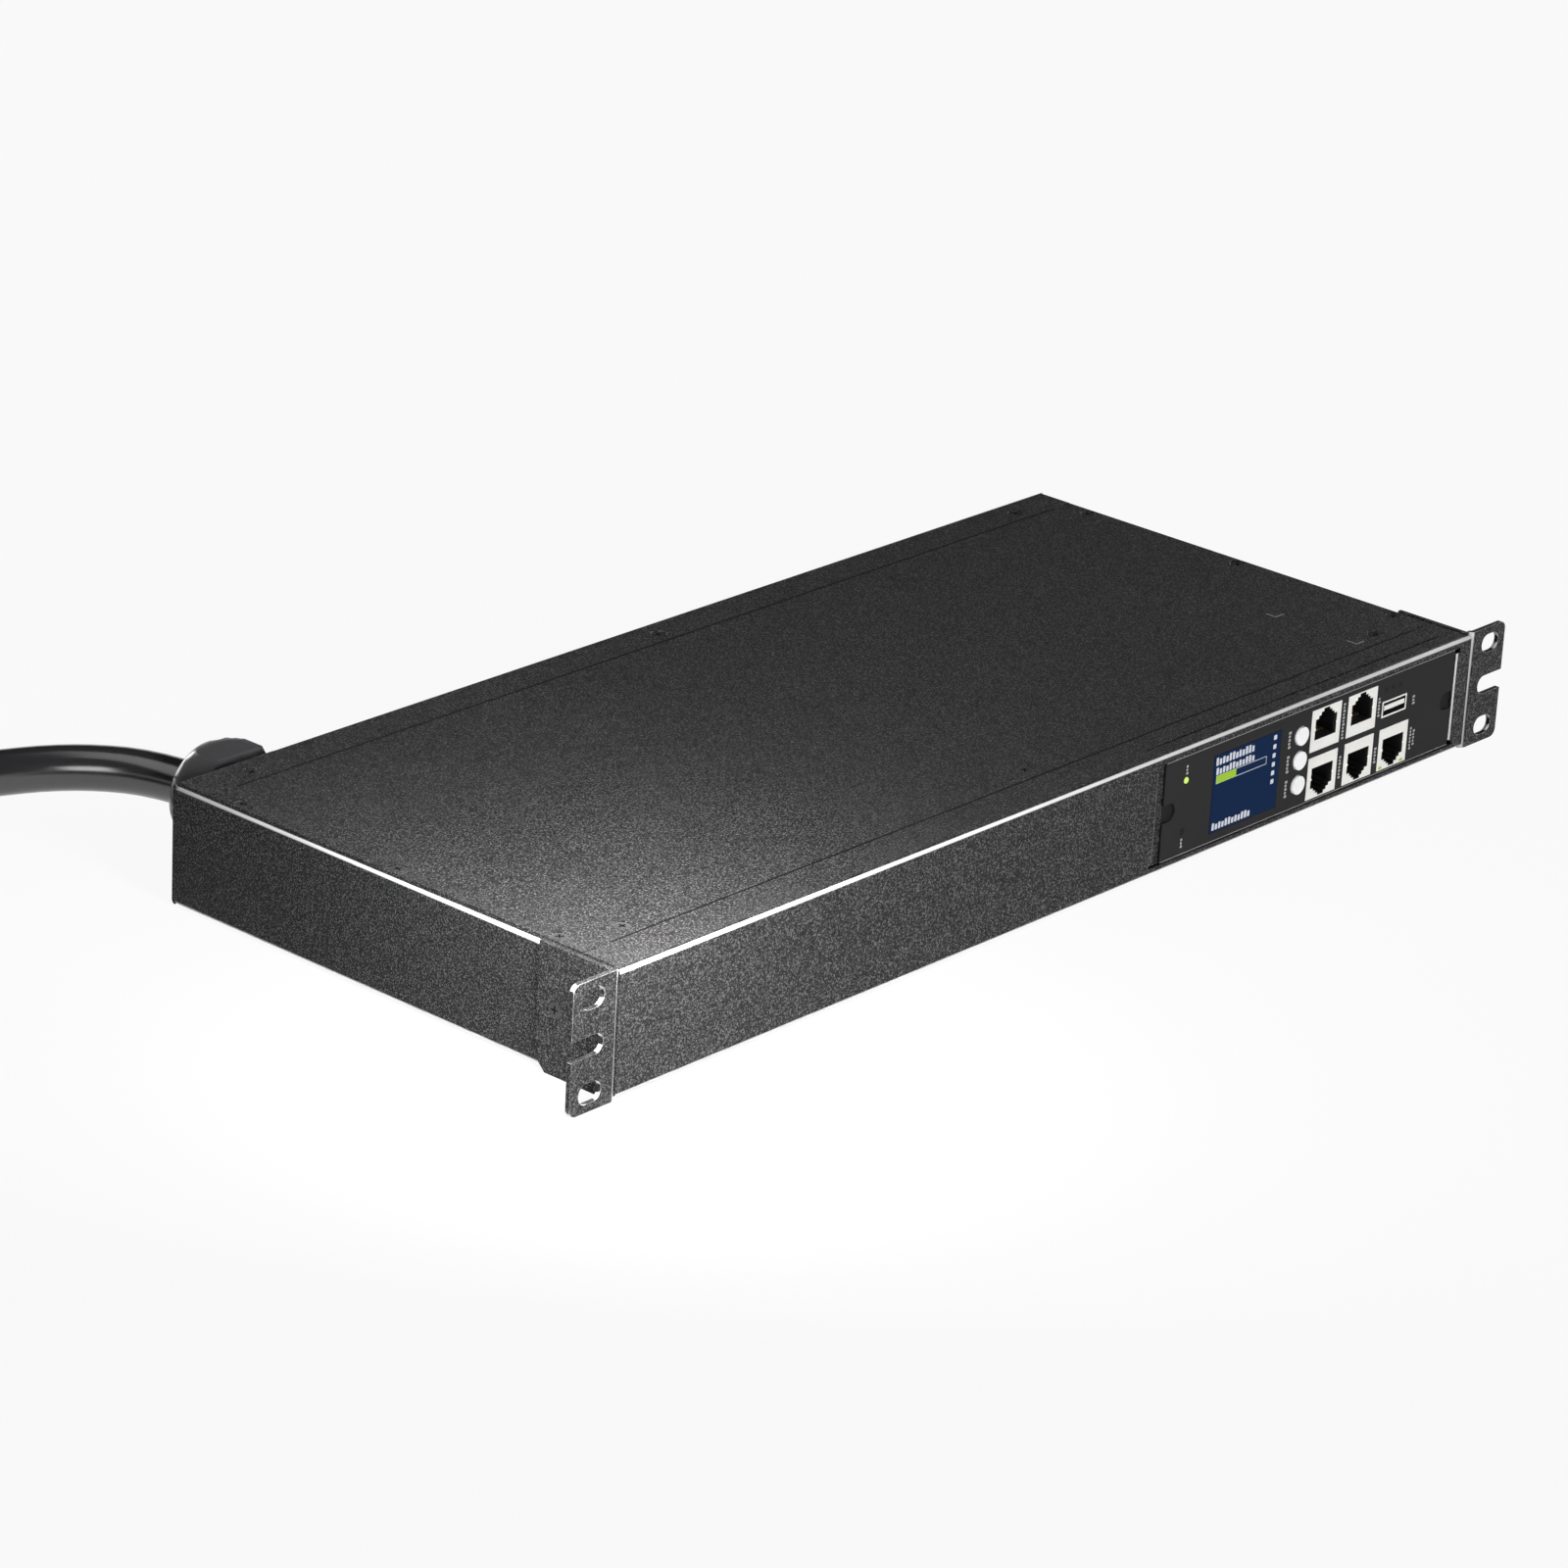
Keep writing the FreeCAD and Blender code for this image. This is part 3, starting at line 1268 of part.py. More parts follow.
def make_stud():
    """Earth stud through the rear panel, with its nut."""
    rise = "stud_rise"
    inside = f"{BACK} - case_sheet - stud_head"
    head = hexagon((STUD_X, inside, rise), "Y", "stud_dia * 1.8", "stud_head")
    free = f"({BACK} + stud_nut_thick + stud_neck_end)"
    neck = prism((STUD_X, inside, rise), "Y", "stud_neck", f"{free} - ({inside})", SHANK_SIDES)
    shank = rod((STUD_X, free, rise), "Y", "stud_dia", f"{BACK} + stud_length - {free}")
    keep(fuse([head, neck, shank]), "earth_stud")
    nut = hexagon((STUD_X, BACK, rise), "Y", "stud_nut", "stud_nut_thick")
    place = (STUD_X, f"{BACK} - 1", rise)
    bore = prism(place, "Y", "stud_dia + 2 * thread_play", "stud_nut_thick + 2", PIN_SIDES)
    keep(cut(nut, [bore]), "earth_nut")


def make_dome_nut():
    """Hexagon that runs into a turned dome with a rounded mouth."""
    wide = size("gland_flats") / math.cos(math.pi / 6)
    rear = size("case_depth") - size("ear_thick")
    start, shoulder, end = size("nut_start"), size("nut_hex_end"), size("nut_end")
    rise = end - shoulder
    steps = [(rear + start, wide * 1.01), (rear + shoulder, wide * 1.01)]
    for part, narrower in ((0.3, 0.982), (0.54, 0.92), (0.76, 0.835), (0.94, 0.665), (1, 0.555)):
        steps.append((rear + shoulder + part * rise, wide * narrower))
    across = size("gland_inset") - size("case_width") / 2
    dome = turned((across, 0.0), steps, GLAND_SIDES, "Dome")
    at = (GLAND_X, f"{BACK} + nut_start", "0")
    bar = hexagon(at, "Y", "gland_flats", "nut_end - nut_start")
    shell = doc.addObject("Part::MultiCommon", "Shell")
    shell.Shapes = [bar, dome]
    before = (GLAND_X, f"{BACK} + nut_start - 1", "0")
    thread = f"gland_thread + {ROUND_PLAY}"
    bore = prism(before, "Y", thread, "nut_hex_end - nut_start + 1", GLAND_SIDES)
    mouth = prism(before, "Y", "nut_mouth", "nut_end - nut_start + 2", GLAND_SIDES)
    keep(cut(shell, [bore, mouth]), "gland_dome_nut")


ROUND_PLAY = "8 * thread_play"


def make_gland():
    def place(y):
        return (GLAND_X, y, "0")

    def bar(y, diameter, length):
        return prism(place(y), "Y", diameter, length, GLAND_SIDES)

    foot = hexagon(place(BACK), "Y", "gland_flats", "gland_flange")
    tail = bar(f"{BACK} - gland_tail", "gland_thread", "gland_tail")
    barrel = bar(BACK, "gland_thread", "nut_hex_end - 0.2")
    passage = bar(f"{BACK} - gland_tail - 1", "gland_bore", "gland_tail + nut_end")
    seat_start = f"{BACK} + nut_hex_end - 0.2 - seal_length"
    seat = bar(seat_start, "seal_outside + 4 * thread_play", "seal_length + 1")
    keep(cut(fuse([foot, tail, barrel]), [passage, seat]), "gland_body")
    ring = bar(seat_start, "seal_outside", "seal_length")
    hole = bar(f"{seat_start} - 1", f"cord_dia + {ROUND_PLAY}", "seal_length + 2")
    keep(cut(ring, [hole]), "gland_seal")
    make_dome_nut()
    start = f"{BACK} - case_sheet - lock_nut_thick"
    nut = hexagon(place(start), "Y", "lock_nut_flats", "lock_nut_thick")
    bore = bar(f"{start} - 1", f"gland_thread + {ROUND_PLAY}", "lock_nut_thick + 2")
    keep(cut(nut, [bore]), "gland_lock_nut")


def make_rear():
    numbers = {"small": 0, "large": 0}
    for kind, across in outlet_places():
        numbers[kind] += 1
        make_outlet("%s_outlet_%d" % (kind, numbers[kind]), kind, across)
    for number, across in enumerate(BREAKER_XS, start=1):
        make_breaker(number, across)
    make_stud()
    make_gland()


# Inside the case.


def floor_board(label, left, right, front, depth):
    """A circuit board on four posts, which stand on the case floor."""
    low = f"{FLOOR} + case_sheet + post_height"
    board = block(left, right, front, f"{front} + {depth}", low, f"{low} + board_thick")
    keep(board, label + "_board")
    posts = []
    for x in (f"{left} + post_dia", f"{right} - post_dia"):
        for y in (f"{front} + post_dia", f"{front} + {depth} - post_dia"):
            posts.append(hexagon((x, y, FLOOR), "Z", "post_dia", f"{low} - {FLOOR}", "Post"))
    return f"{low} + board_thick", posts


def make_inside():
    meter_right = f"({SIDE} - meter_end)"
    deck, posts = floor_board("metering", BOARD_LEFT, meter_right, METER_FRONT, "meter_depth")
    sensors = []
    for across in BREAKER_XS:
        start = f"{across} + breaker_width"
        front = f"{METER_FRONT} + (meter_depth - sensor_side) / 2"
        end = f"{start} + sensor_thick"
        case = block(start, end, front, f"{front} + sensor_side", deck, f"{deck} + sensor_side")
        inset = "(sensor_side - sensor_window) / 2"
        low, near = f"{deck} + {inset}", f"{front} + {inset}"
        high, far = f"{low} + sensor_window", f"{near} + sensor_window"
        window = block(f"{start} - 1", f"{end} + 1", near, far, low, high)
        sensors.append(cut(case, [window], "Sensor"))
    group("current_sensors", sensors)
    supply_right = f"({BOARD_LEFT} + supply_width)"
    ends = (BOARD_LEFT, supply_right, SUPPLY_FRONT)
    deck, more = floor_board("supply", *ends, "supply_depth")
    group("board_posts", posts + more)
    left = f"{BOARD_LEFT} + post_dia * 2"
    middle = f"{SUPPLY_FRONT} + supply_depth / 2"
    core = block(left, f"{left} + 28", f"{middle} - 12", f"{middle} + 12", deck, f"{deck} + 20")
    keep(core, "supply_transformer")
    boxes = []
    for step in range(3):
        start = f"{left} + 34 + {step} * 13"
        near, far = f"{middle} - 9", f"{middle} + 9"
        boxes.append(block(start, f"{start} + 9", near, far, deck, f"{deck} + 14", "Box"))
    group("supply_capacitors", boxes)
    half = "terminal_width / 2"
    near = f"({BACK} - gland_tail - terminal_gap - terminal_depth)"
    terminal = block(
        f"{GLAND_X} - {half}",
        f"{GLAND_X} + {half}",
        near,
        f"{near} + terminal_depth",
        FLOOR,
        f"{FLOOR} + terminal_height",
    )
    keep(terminal, "terminal_block")
    make_bus_bars()


def make_bus_bars():
    """Three bars along the backs of the outlets, in each bank."""
    back = f"{BACK} - outlet_depth"
    bars = []
    for step in (-1, 0, 1):
        low = f"({step}) * bar_pitch - bar_height / 2"
        front = f"{back} - bar_thick"
        for breaker in BREAKER_XS:
            first = f"{breaker} + outlet_start - small_core_width / 2"
            last = f"{breaker} + {BANK_LENGTH} + large_core_width / 2"
            bars.append(block(first, last, front, back, low, f"{low} + bar_height", "Bar"))
    group("bus_bars", bars)


# The mains cord: a tube along its route, the coil that is put away, the plug.

FROM_GLAND = [
    (0.0, 0.0, 0.0),
    (0.0, 36.4, 0.0),
    (-14.7, 70.1, -2.5),
    (-41.5, 94.6, -7.0),
    (-94.1, 127.5, -12.0),
]
TO_COIL = [(40.6, 101.1, 7.9), (-6.8, 97.8, 7.9)]


def cord_route():
    """The gland's end follows the gland, the far end follows the coil."""
    exit_y = size("case_depth") - size("ear_thick") + size("gland_flange")
    ground = -size("ear_height") / 2
    exit_x = size("gland_inset") - size("case_width") / 2
    near = [(exit_x + x, exit_y + y, z) for x, y, z in FROM_GLAND]
    far = [(size("coil_x") + x, size("coil_y") + y, ground + z) for x, y, z in TO_COIL]
    return near + far


def tail_route():
    """From the side of the coil's upper outer turn to the plug."""
    ground = -size("ear_height") / 2
    across = size("coil_x") - size("coil_outer")
    start = (across, size("coil_y"), ground + 1.5 * size("cord_dia"))
    return [start, (across, size("plug_start"), ground + size("plug_dia") / 2)]


def section(centre, heading, diameter):
    """A ring of flat sides with the round cord's area, across the heading."""
    share = math.tau / CORD_SIDES
    reach = diameter / 2 * math.sqrt(share / math.sin(share))
    level = heading.cross(AXIS_Z).normalize()
    upright = level.cross(heading).normalize()
    corners = [
        centre + level * (reach * math.cos(share * i)) + upright * (reach * math.sin(share * i))
        for i in range(CORD_SIDES)
    ]
    return Part.makePolygon(corners + corners[:1])


def tube(points, diameter, label):
    """Straight runs joined by tangent arcs, as large as the runs allow."""
    corners = [Vector(*point) for point in points]
    edges = []
    radii = []
    start = corners[0]
    for before, corner, after in zip(corners, corners[1:], corners[2:]):
        arriving, leaving = corner - before, after - corner
        turn = arriving.getAngle(leaving)
        trim = 0.45 * min(arriving.Length, leaving.Length)
        radii.append(trim / math.tan(turn / 2))
        first = corner - arriving.normalize() * trim
        last = corner + leaving.normalize() * trim
        bisector = (leaving - arriving).normalize()
        centre = corner + bisector * (radii[-1] / math.cos(turn / 2))
        middle = centre - bisector * radii[-1]
        edges.append(Part.LineSegment(start, first).toShape())
        edges.append(Part.Arc(first, middle, last).toShape())
        start = last
    edges.append(Part.LineSegment(start, corners[-1]).toShape())
    path = Part.Wire(edges)
    heading = corners[1] - corners[0]
    solid = path.makePipeShell([section(corners[0], heading, diameter)], True, False)
    expected = math.pi * diameter**2 / 4 * path.Length
    print(
        "%s: length %.1f, radii %s, volume over section times length %.5f"
        % (label, path.Length, [round(radius, 1) for radius in radii], solid.Volume / expected)
    )
    feature = doc.addObject("Part::Feature", label)
    feature.Shape = solid
    return keep(feature, label)


def make_coil():
    """Outer shape of the wound length: two layers of three turns."""
    inner = "2 * coil_inner - cord_dia"
    outer = "2 * coil_outer + cord_dia"
    wound = prism(("coil_x", "coil_y", GROUND), "Z", outer, "2 * cord_dia", COIL_SIDES)
    place = ("coil_x", "coil_y", f"{GROUND} - 1")
    eye = prism(place, "Z", inner, "2 * cord_dia + 2", COIL_SIDES)
    keep(cut(wound, [eye]), "cord_coil")


def make_plug():
    """Locking plug on its side: cord clamp, body, front disc, three blades."""
    across = "coil_x - coil_outer"
    rise = f"{GROUND} + plug_dia / 2"

    def place(y):
        return (across, y, rise)

    grip_end = "plug_start - plug_grip_length"
    grip = prism(place("plug_start"), "-Y", "plug_grip", "plug_grip_length", PLUG_SIDES)
    keep(grip, "plug_cord_clamp")
    body_end = f"{grip_end} - plug_length"
    wide, rear = size("plug_dia"), size("plug_start") - size("plug_grip_length")
    steps = [(rear - size("plug_length"), wide), (rear - size("plug_length") * 0.3, wide)]
    steps.append((rear, size("plug_grip") + 4))
    middle = (size("coil_x") - size("coil_outer"), wide / 2 - size("ear_height") / 2)
    keep(turned(middle, steps, PLUG_SIDES, "Case"), "plug_body")
    disc = prism(place(body_end), "-Y", "plug_dia - 4", "plug_face_thick", PLUG_SIDES)
    keep(disc, "plug_face")
    front = f"{body_end} - plug_face_thick"
    blades = []
    for turn in (90, 210, 330):
        outer = rod(place(front), "-Y", "blade_circle", "blade_length", "Blade", "blade_arc")
        inner = rod(
            place(f"{front} + 1"), "-Y", "blade_circle - 2 * blade_thick", "blade_length + 2"
        )
        outer.Placement.Rotation = TURNS["-Y"].multiply(Rotation(AXIS_Z, turn))
        blades.append(cut(outer, [inner], "Blade"))
    group("plug_blades", blades)


def make_cord():
    diameter = size("cord_dia")
    tube(cord_route(), diameter, "mains_cord")
    make_coil()
    tube(tail_route(), diameter, "cord_tail")
    make_plug()


make_case()
make_module()
make_rear()
make_inside()
make_cord()
doc.recompute()

faults = [thing.Name for thing in doc.Objects if {"Invalid", "Error"} & set(thing.State)]
if faults:
    raise RuntimeError("failed objects: %s" % ", ".join(faults))
for node in NODES:
    if node.Shape.isNull() or not node.Shape.isValid() or not node.Shape.Solids:
        raise RuntimeError("bad shape: %s" % node.Label)

os.makedirs("parts", exist_ok=True)
for node in NODES:
    node.Shape.exportStep("parts/%s.step" % node.Label)
print("%d sub-parts" % len(NODES))
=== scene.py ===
import math

import bmesh
import bpy
from mathutils import Matrix, Vector


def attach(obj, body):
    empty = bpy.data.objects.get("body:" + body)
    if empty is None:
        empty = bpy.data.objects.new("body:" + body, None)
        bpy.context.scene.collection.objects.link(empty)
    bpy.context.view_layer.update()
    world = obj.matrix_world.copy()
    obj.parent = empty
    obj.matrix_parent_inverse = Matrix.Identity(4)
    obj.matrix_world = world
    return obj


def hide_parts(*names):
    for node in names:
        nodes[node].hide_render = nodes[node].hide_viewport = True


# A 1U rack power distribution unit in its rest position. Blender's objects are in metres,
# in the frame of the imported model: X along the rack, Y into it, Z up. Shapes are written
# in millimetres and scaled when their piece is made.

MM = 0.001
CASE = "case"
FLOOR = -22.2 * MM

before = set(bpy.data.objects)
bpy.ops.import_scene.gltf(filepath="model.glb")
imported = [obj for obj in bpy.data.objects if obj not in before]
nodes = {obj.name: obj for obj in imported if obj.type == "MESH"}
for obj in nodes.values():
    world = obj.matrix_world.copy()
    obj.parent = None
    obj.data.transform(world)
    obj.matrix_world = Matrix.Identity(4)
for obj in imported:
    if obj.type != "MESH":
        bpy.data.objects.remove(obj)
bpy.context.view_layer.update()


# Materials. Each is procedural, in the object's own coordinates.


def feed(tree, target, value):
    """Links a socket to a target, or sets the target to a number or colour."""
    if hasattr(value, "is_linked"):
        tree.links.new(value, target)
    elif isinstance(value, tuple):
        target.default_value = (*value, 1.0)
    else:
        target.default_value = value


def combine(tree, operation, first, second):
    """A Math node of two values."""
    made = tree.nodes.new("ShaderNodeMath")
    made.operation = operation
    feed(tree, made.inputs[0], first)
    feed(tree, made.inputs[1], second)
    return made.outputs[0]


def shade(colour, share, lift=0.0):
    """A colour made darker or lighter."""
    return tuple(min(1.0, value * share + lift) for value in colour)


class Finish:
    """A principled material with helpers that make and wire its nodes."""

    def __init__(self, name, specular=0.5, metallic=0.0):
        self.material = bpy.data.materials.new(name)
        self.material.use_nodes = True
        self.tree = self.material.node_tree
        self.shader = self.tree.nodes["Principled BSDF"]
        self.shader.inputs["Specular IOR Level"].default_value = specular
        self.shader.inputs["Metallic"].default_value = metallic
        self.coordinates = self.node("ShaderNodeTexCoord").outputs
        self.place = self.coordinates["Object"]

    def node(self, kind, inputs=None, **settings):
        made = self.tree.nodes.new(kind)
        for key, value in settings.items():
            setattr(made, key, value)
        for key, value in (inputs or {}).items():
            made.inputs[key].default_value = value
        return made

    def link(self, source, target):
        self.tree.links.new(source, target)

    def axes(self, vector):
        """A vector's X, Y and Z, as sockets."""
        split = self.node("ShaderNodeSeparateXYZ")
        self.link(vector, split.inputs["Vector"])
        return split.outputs

    def noise(self, scale, detail=2.0, rough=0.5, stretch=None):
        levels = {"Scale": scale, "Detail": detail, "Roughness": rough}
        made = self.node("ShaderNodeTexNoise", levels)
        place = self.place
        if stretch:
            mapping = self.node("ShaderNodeMapping", {"Scale": stretch})
            self.link(place, mapping.inputs["Vector"])
            place = mapping.outputs["Vector"]
        self.link(place, made.inputs["Vector"])
        return made.outputs["Fac"]

    def ramp(self, factor, stops):
        """Greys at places along a factor."""
        made = self.node("ShaderNodeValToRGB")
        elements = made.color_ramp.elements
        while len(elements) < len(stops):
            elements.new(0.5)
        for element, (place, grey) in zip(elements, stops):
            element.position = place
            element.color = (grey, grey, grey, 1.0)
        self.link(factor, made.inputs["Fac"])
        return made.outputs["Color"]

    def blend(self, factor, low, high, kind="MIX"):
        """A Mix node of two colours, which are its inputs 6 and 7."""
        made = self.node("ShaderNodeMix", data_type="RGBA", blend_type=kind)
        for index, value in ((0, factor), (6, low), (7, high)):
            feed(self.tree, made.inputs[index], value)
        return made.outputs[2]

    def colour(self, socket):
        self.link(socket, self.shader.inputs["Base Color"])

    def roughness(self, factor, low, high):
        made = self.node("ShaderNodeMapRange", {"To Min": low, "To Max": high})
        self.link(factor, made.inputs["Value"])
        self.link(made.outputs["Result"], self.shader.inputs["Roughness"])

    def bump(self, height, distance, strength):
        made = self.node("ShaderNodeBump", {"Distance": distance, "Strength": strength})
        self.link(height, made.inputs["Height"])
        self.link(made.outputs["Normal"], self.shader.inputs["Normal"])

    def painted_fold_highlights(self, flat=0.94, turned=0.85):
        """Mask for a painted highlight: 0 on flat faces along the axes, 1 where the surface
        turns between them.

        Flat and turned are the normal's largest component in either case.
        """
        size = self.node("ShaderNodeVectorMath", operation="ABSOLUTE")
        self.link(self.coordinates["Normal"], size.inputs[0])
        axes = self.axes(size.outputs["Vector"])
        largest = axes["X"]
        for axis in "YZ":
            largest = combine(self.tree, "MAXIMUM", largest, axes[axis])
        scaled = self.node("ShaderNodeMapRange", {"From Min": flat, "From Max": turned})
        self.link(largest, scaled.inputs["Value"])
        return scaled.outputs["Result"]

    def in_front_of(self, factor, depth):
        """A factor kept where Y is below a depth, 0 behind it."""
        before = combine(self.tree, "LESS_THAN", self.axes(self.place)["Y"], depth)
        return combine(self.tree, "MULTIPLY", factor, before)


def powder_coat(name, painted_fold_highlights=True, reach=None):
    """Fine textured black powder coat, smoother along folded edges, with a paler grey painted
    there as a highlight.

    Where reach is given, only folds in front of that depth get the painted highlight.
    """
    finish = Finish(name, specular=0.10)
    grain = finish.noise(1900.0, 2.0, 0.65)
    patches = finish.noise(7.0, 2.0)
    tone = finish.ramp(grain, [(0.42, 0.006), (0.53, 0.020), (0.64, 0.130)])
    wide = finish.ramp(patches, [(0.3, 0.86), (0.7, 1.0)])
    coat = finish.blend(1.0, tone, wide, "MULTIPLY")
    if painted_fold_highlights:
        fold_highlight = finish.painted_fold_highlights()
        if reach is not None:
            fold_highlight = finish.in_front_of(fold_highlight, reach)
        # The paler grey along the folds is a painted highlight.
        finish.colour(finish.blend(fold_highlight, coat, (0.60, 0.60, 0.60)))
        finish.roughness(fold_highlight, 0.46, 0.24)
    else:
        finish.colour(coat)
        finish.roughness(patches, 0.44, 0.50)
    finish.bump(grain, 0.10 * MM, 0.8)
    return finish.material


def moulded(name, colour, rough=0.45, specular=0.4, grain=2600.0, relief=0.02):
    """Moulded plastic with fine spark-eroded grain and slight tone changes."""
    finish = Finish(name, specular)
    fine = finish.noise(grain, 2.0, 0.6)
    wide = finish.noise(35.0, 3.0)
    finish.colour(finish.blend(wide, shade(colour, 0.88), shade(colour, 1.12, 0.002)))
    finish.roughness(wide, rough * 0.9, rough * 1.12)
    finish.bump(fine, relief * MM, 0.6)
    return finish.material


def metal(name, colour, rough, brushed=(1.0, 1.0, 1.0)):
    """Metal with fine lines, drawn out where brushed isn't the same on all axes."""
    finish = Finish(name, metallic=1.0)
    lines = finish.noise(900.0, 3.0, 0.6, brushed)
    wide = finish.noise(40.0, 2.0)
    finish.colour(finish.blend(wide, shade(colour, 0.82), shade(colour, 1.1)))
    finish.roughness(lines, rough * 0.8, rough * 1.3)
    finish.bump(lines, 0.01 * MM, 0.5)
    return finish.material


def lit(name, colour, strength):
    """A lit display field or lamp, with a faint cell structure."""
    finish = Finish(name, specular=0.03)
    cells = finish.noise(1800.0, 1.0)
    tone = finish.blend(cells, shade(colour, 0.94), shade(colour, 1.06))
    finish.colour(tone)
    finish.link(tone, finish.shader.inputs["Emission Color"])
    finish.shader.inputs["Emission Strength"].default_value = strength
    finish.roughness(cells, 0.45, 0.5)
    return finish.material


def jack_body(shell_depth):
    """Pale shell in front of a depth, near-black painted shade inside the opening."""
    finish = Finish("jack_body", specular=0.3)
    depth = finish.axes(finish.place)["Y"]
    inside = combine(finish.tree, "GREATER_THAN", depth, shell_depth)
    fine = finish.noise(1300.0, 2.0)
    shell = finish.blend(fine, (0.74, 0.73, 0.70), (0.80, 0.79, 0.76))
    # Near black inside the opening: painted shade.
    opening_shade = finish.blend(fine, (0.012, 0.012, 0.012), (0.03, 0.03, 0.03))
    finish.colour(finish.blend(inside, shell, opening_shade))
    finish.roughness(fine, 0.4, 0.5)
    finish.bump(fine, 0.01 * MM, 0.4)
    return finish.material


def cord_jacket():
    """Round rubber jacket with a smooth sheen and a very faint grain."""
    finish = Finish("cord_jacket", specular=1.0)
    fine = finish.noise(700.0, 3.0, 0.6)
    wide = finish.noise(18.0, 2.0)
    finish.colour(finish.blend(wide, (0.018, 0.018, 0.019), (0.028, 0.028, 0.03)))
    finish.roughness(fine, 0.16, 0.24)
    finish.bump(fine, 0.03 * MM, 0.4)
    return finish.material


COAT = powder_coat("powder_coat")
FRONT_COAT = powder_coat("powder_coat_front", reach=3.0 * MM)
PLAIN_COAT = powder_coat("powder_coat_flat", painted_fold_highlights=False)
OVERLAY = moulded(
    "overlay", (0.018, 0.018, 0.019), rough=0.5, specular=0.05, grain=1800.0, relief=0.01
)
# Near-black painted shade, on the thumb notches' floors, the vent dots, round the reset
# plunger and in the cover's seams.
PAINTED_SHADE = moulded("painted_shade_fill", (0.006, 0.006, 0.006), rough=0.6, specular=0.1)
JACK = jack_body(-1.22 * MM)
WHITE = moulded("white_cap", (0.84, 0.84, 0.84), rough=0.4, specular=0.3)
PRINT = moulded("pale_print", (0.36, 0.36, 0.36), rough=0.6, specular=0.1)
# Pale grey painted highlights, along the faceplate's edges and on the cover's corner marks.
PAINTED_HIGHLIGHT = moulded("painted_highlight_line", (0.30, 0.30, 0.30), rough=0.4, specular=0.3)
GLASS = moulded("screen_glass", (0.006, 0.010, 0.020), rough=0.2, specular=0.2)
SCREEN = lit("screen_field", (0.0016, 0.0095, 0.036), strength=0.5)
LIME = lit("lime_field", (0.23, 0.37, 0.030), strength=0.4)
BRIGHT = lit("screen_marks", (0.36, 0.38, 0.42), strength=0.6)
LAMP = lit("status_lamp", (0.36, 0.50, 0.10), strength=0.8)
BLACK_PLASTIC = moulded("black_plastic", (0.020, 0.020, 0.021), rough=0.40, specular=0.35)
OUTLET = moulded("outlet_plastic", (0.030, 0.030, 0.032), rough=0.42, specular=0.35)
ROCKER = moulded("rocker_plastic", (0.042, 0.042, 0.045), rough=0.34, specular=0.4)
GLAND = moulded("gland_nylon", (0.050, 0.050, 0.053), rough=0.30, specular=0.6)
SEAL = moulded("seal_rubber", (0.014, 0.014, 0.014), rough=0.6, specular=0.2)
SCREW = moulded("screw_black", (0.030, 0.030, 0.032), rough=0.36, specular=0.3)
# Near-black painted shade in the screws' cross recesses.
RECESS_SHADE = moulded("screw_recess_shade", (0.006, 0.006, 0.006), rough=0.6, specular=0.1)
JACKET = cord_jacket()
STEEL = metal("plated_steel", (0.62, 0.62, 0.62), rough=0.28, brushed=(1.0, 1.0, 8.0))
BRASS = metal("brass", (0.70, 0.55, 0.27), rough=0.3)
GOLD = metal("contact_gold", (0.42, 0.32, 0.15), rough=0.4)
COPPER = metal("copper", (0.78, 0.42, 0.28), rough=0.32, brushed=(0.05, 1.0, 1.0))
BOARD = moulded("board_green", (0.015, 0.12, 0.05), rough=0.4, specular=0.5)
INNER = moulded("inner_plastic", (0.05, 0.055, 0.06), rough=0.5, specular=0.4)
FILM = moulded("film_yellow", (0.55, 0.38, 0.08), rough=0.4, specular=0.4)

# The CAD nodes' materials. Nodes that a piece replaces further down have none.

NODE_FINISH = {
    COAT: ["base_tray", "module_carrier"],
    FRONT_COAT: ["front_panel", "left_ear", "right_ear"],
    PLAIN_COAT: ["rear_panel", "top_cover"],
    OVERLAY: ["module_faceplate"],
    JACK: ["network_jack_%d" % number for number in range(1, 6)] + ["serial_port"],
    WHITE: ["menu_button_1", "menu_button_2", "menu_button_3"],
    BLACK_PLASTIC: ["breaker_body_1", "breaker_body_2", "plug_body", "plug_face"],
    GLASS: ["screen"],
    GLAND: ["gland_body", "gland_lock_nut", "plug_cord_clamp"],
    SEAL: ["gland_seal"],
    STEEL: ["earth_stud"],
    BRASS: ["earth_nut", "plug_blades", "module_posts", "board_posts"],
    COPPER: ["bus_bars"],
    BOARD: ["controller_board", "metering_board", "supply_board"],
    INNER: ["terminal_block", "current_sensors", "supply_transformer", "tactile_switches"],
    FILM: ["supply_capacitors"],
    LAMP: ["status_light"],
    SCREW: ["reset_plunger"],
    OUTLET: [name for name in nodes if "_outlet_" in name],
    ROCKER: [name for name in nodes if "_rocker_" in name],
}
for finish, names in NODE_FINISH.items():
    for name in names:
        slots = nodes[name].data.materials
        slots.clear()
        slots.append(finish)


# Small rounded edges, which catch the light as real folded edges do. Each row has the
# width and how the names of its nodes start.

SHARP = math.radians(35.0)
SOFT_EDGES = (
    (0.22, ("base_tray", "front_panel", "rear_panel", "top_cover")),
    (0.30, ("left_ear", "right_ear")),
    (0.14, ("module_faceplate", "module_carrier")),
    (0.08, ("network_jack",)),
    (0.25, ("breaker_", "small_outlet", "large_outlet", "plug_")),
    (0.40, ("gland_body", "gland_lock", "earth_nut")),
)


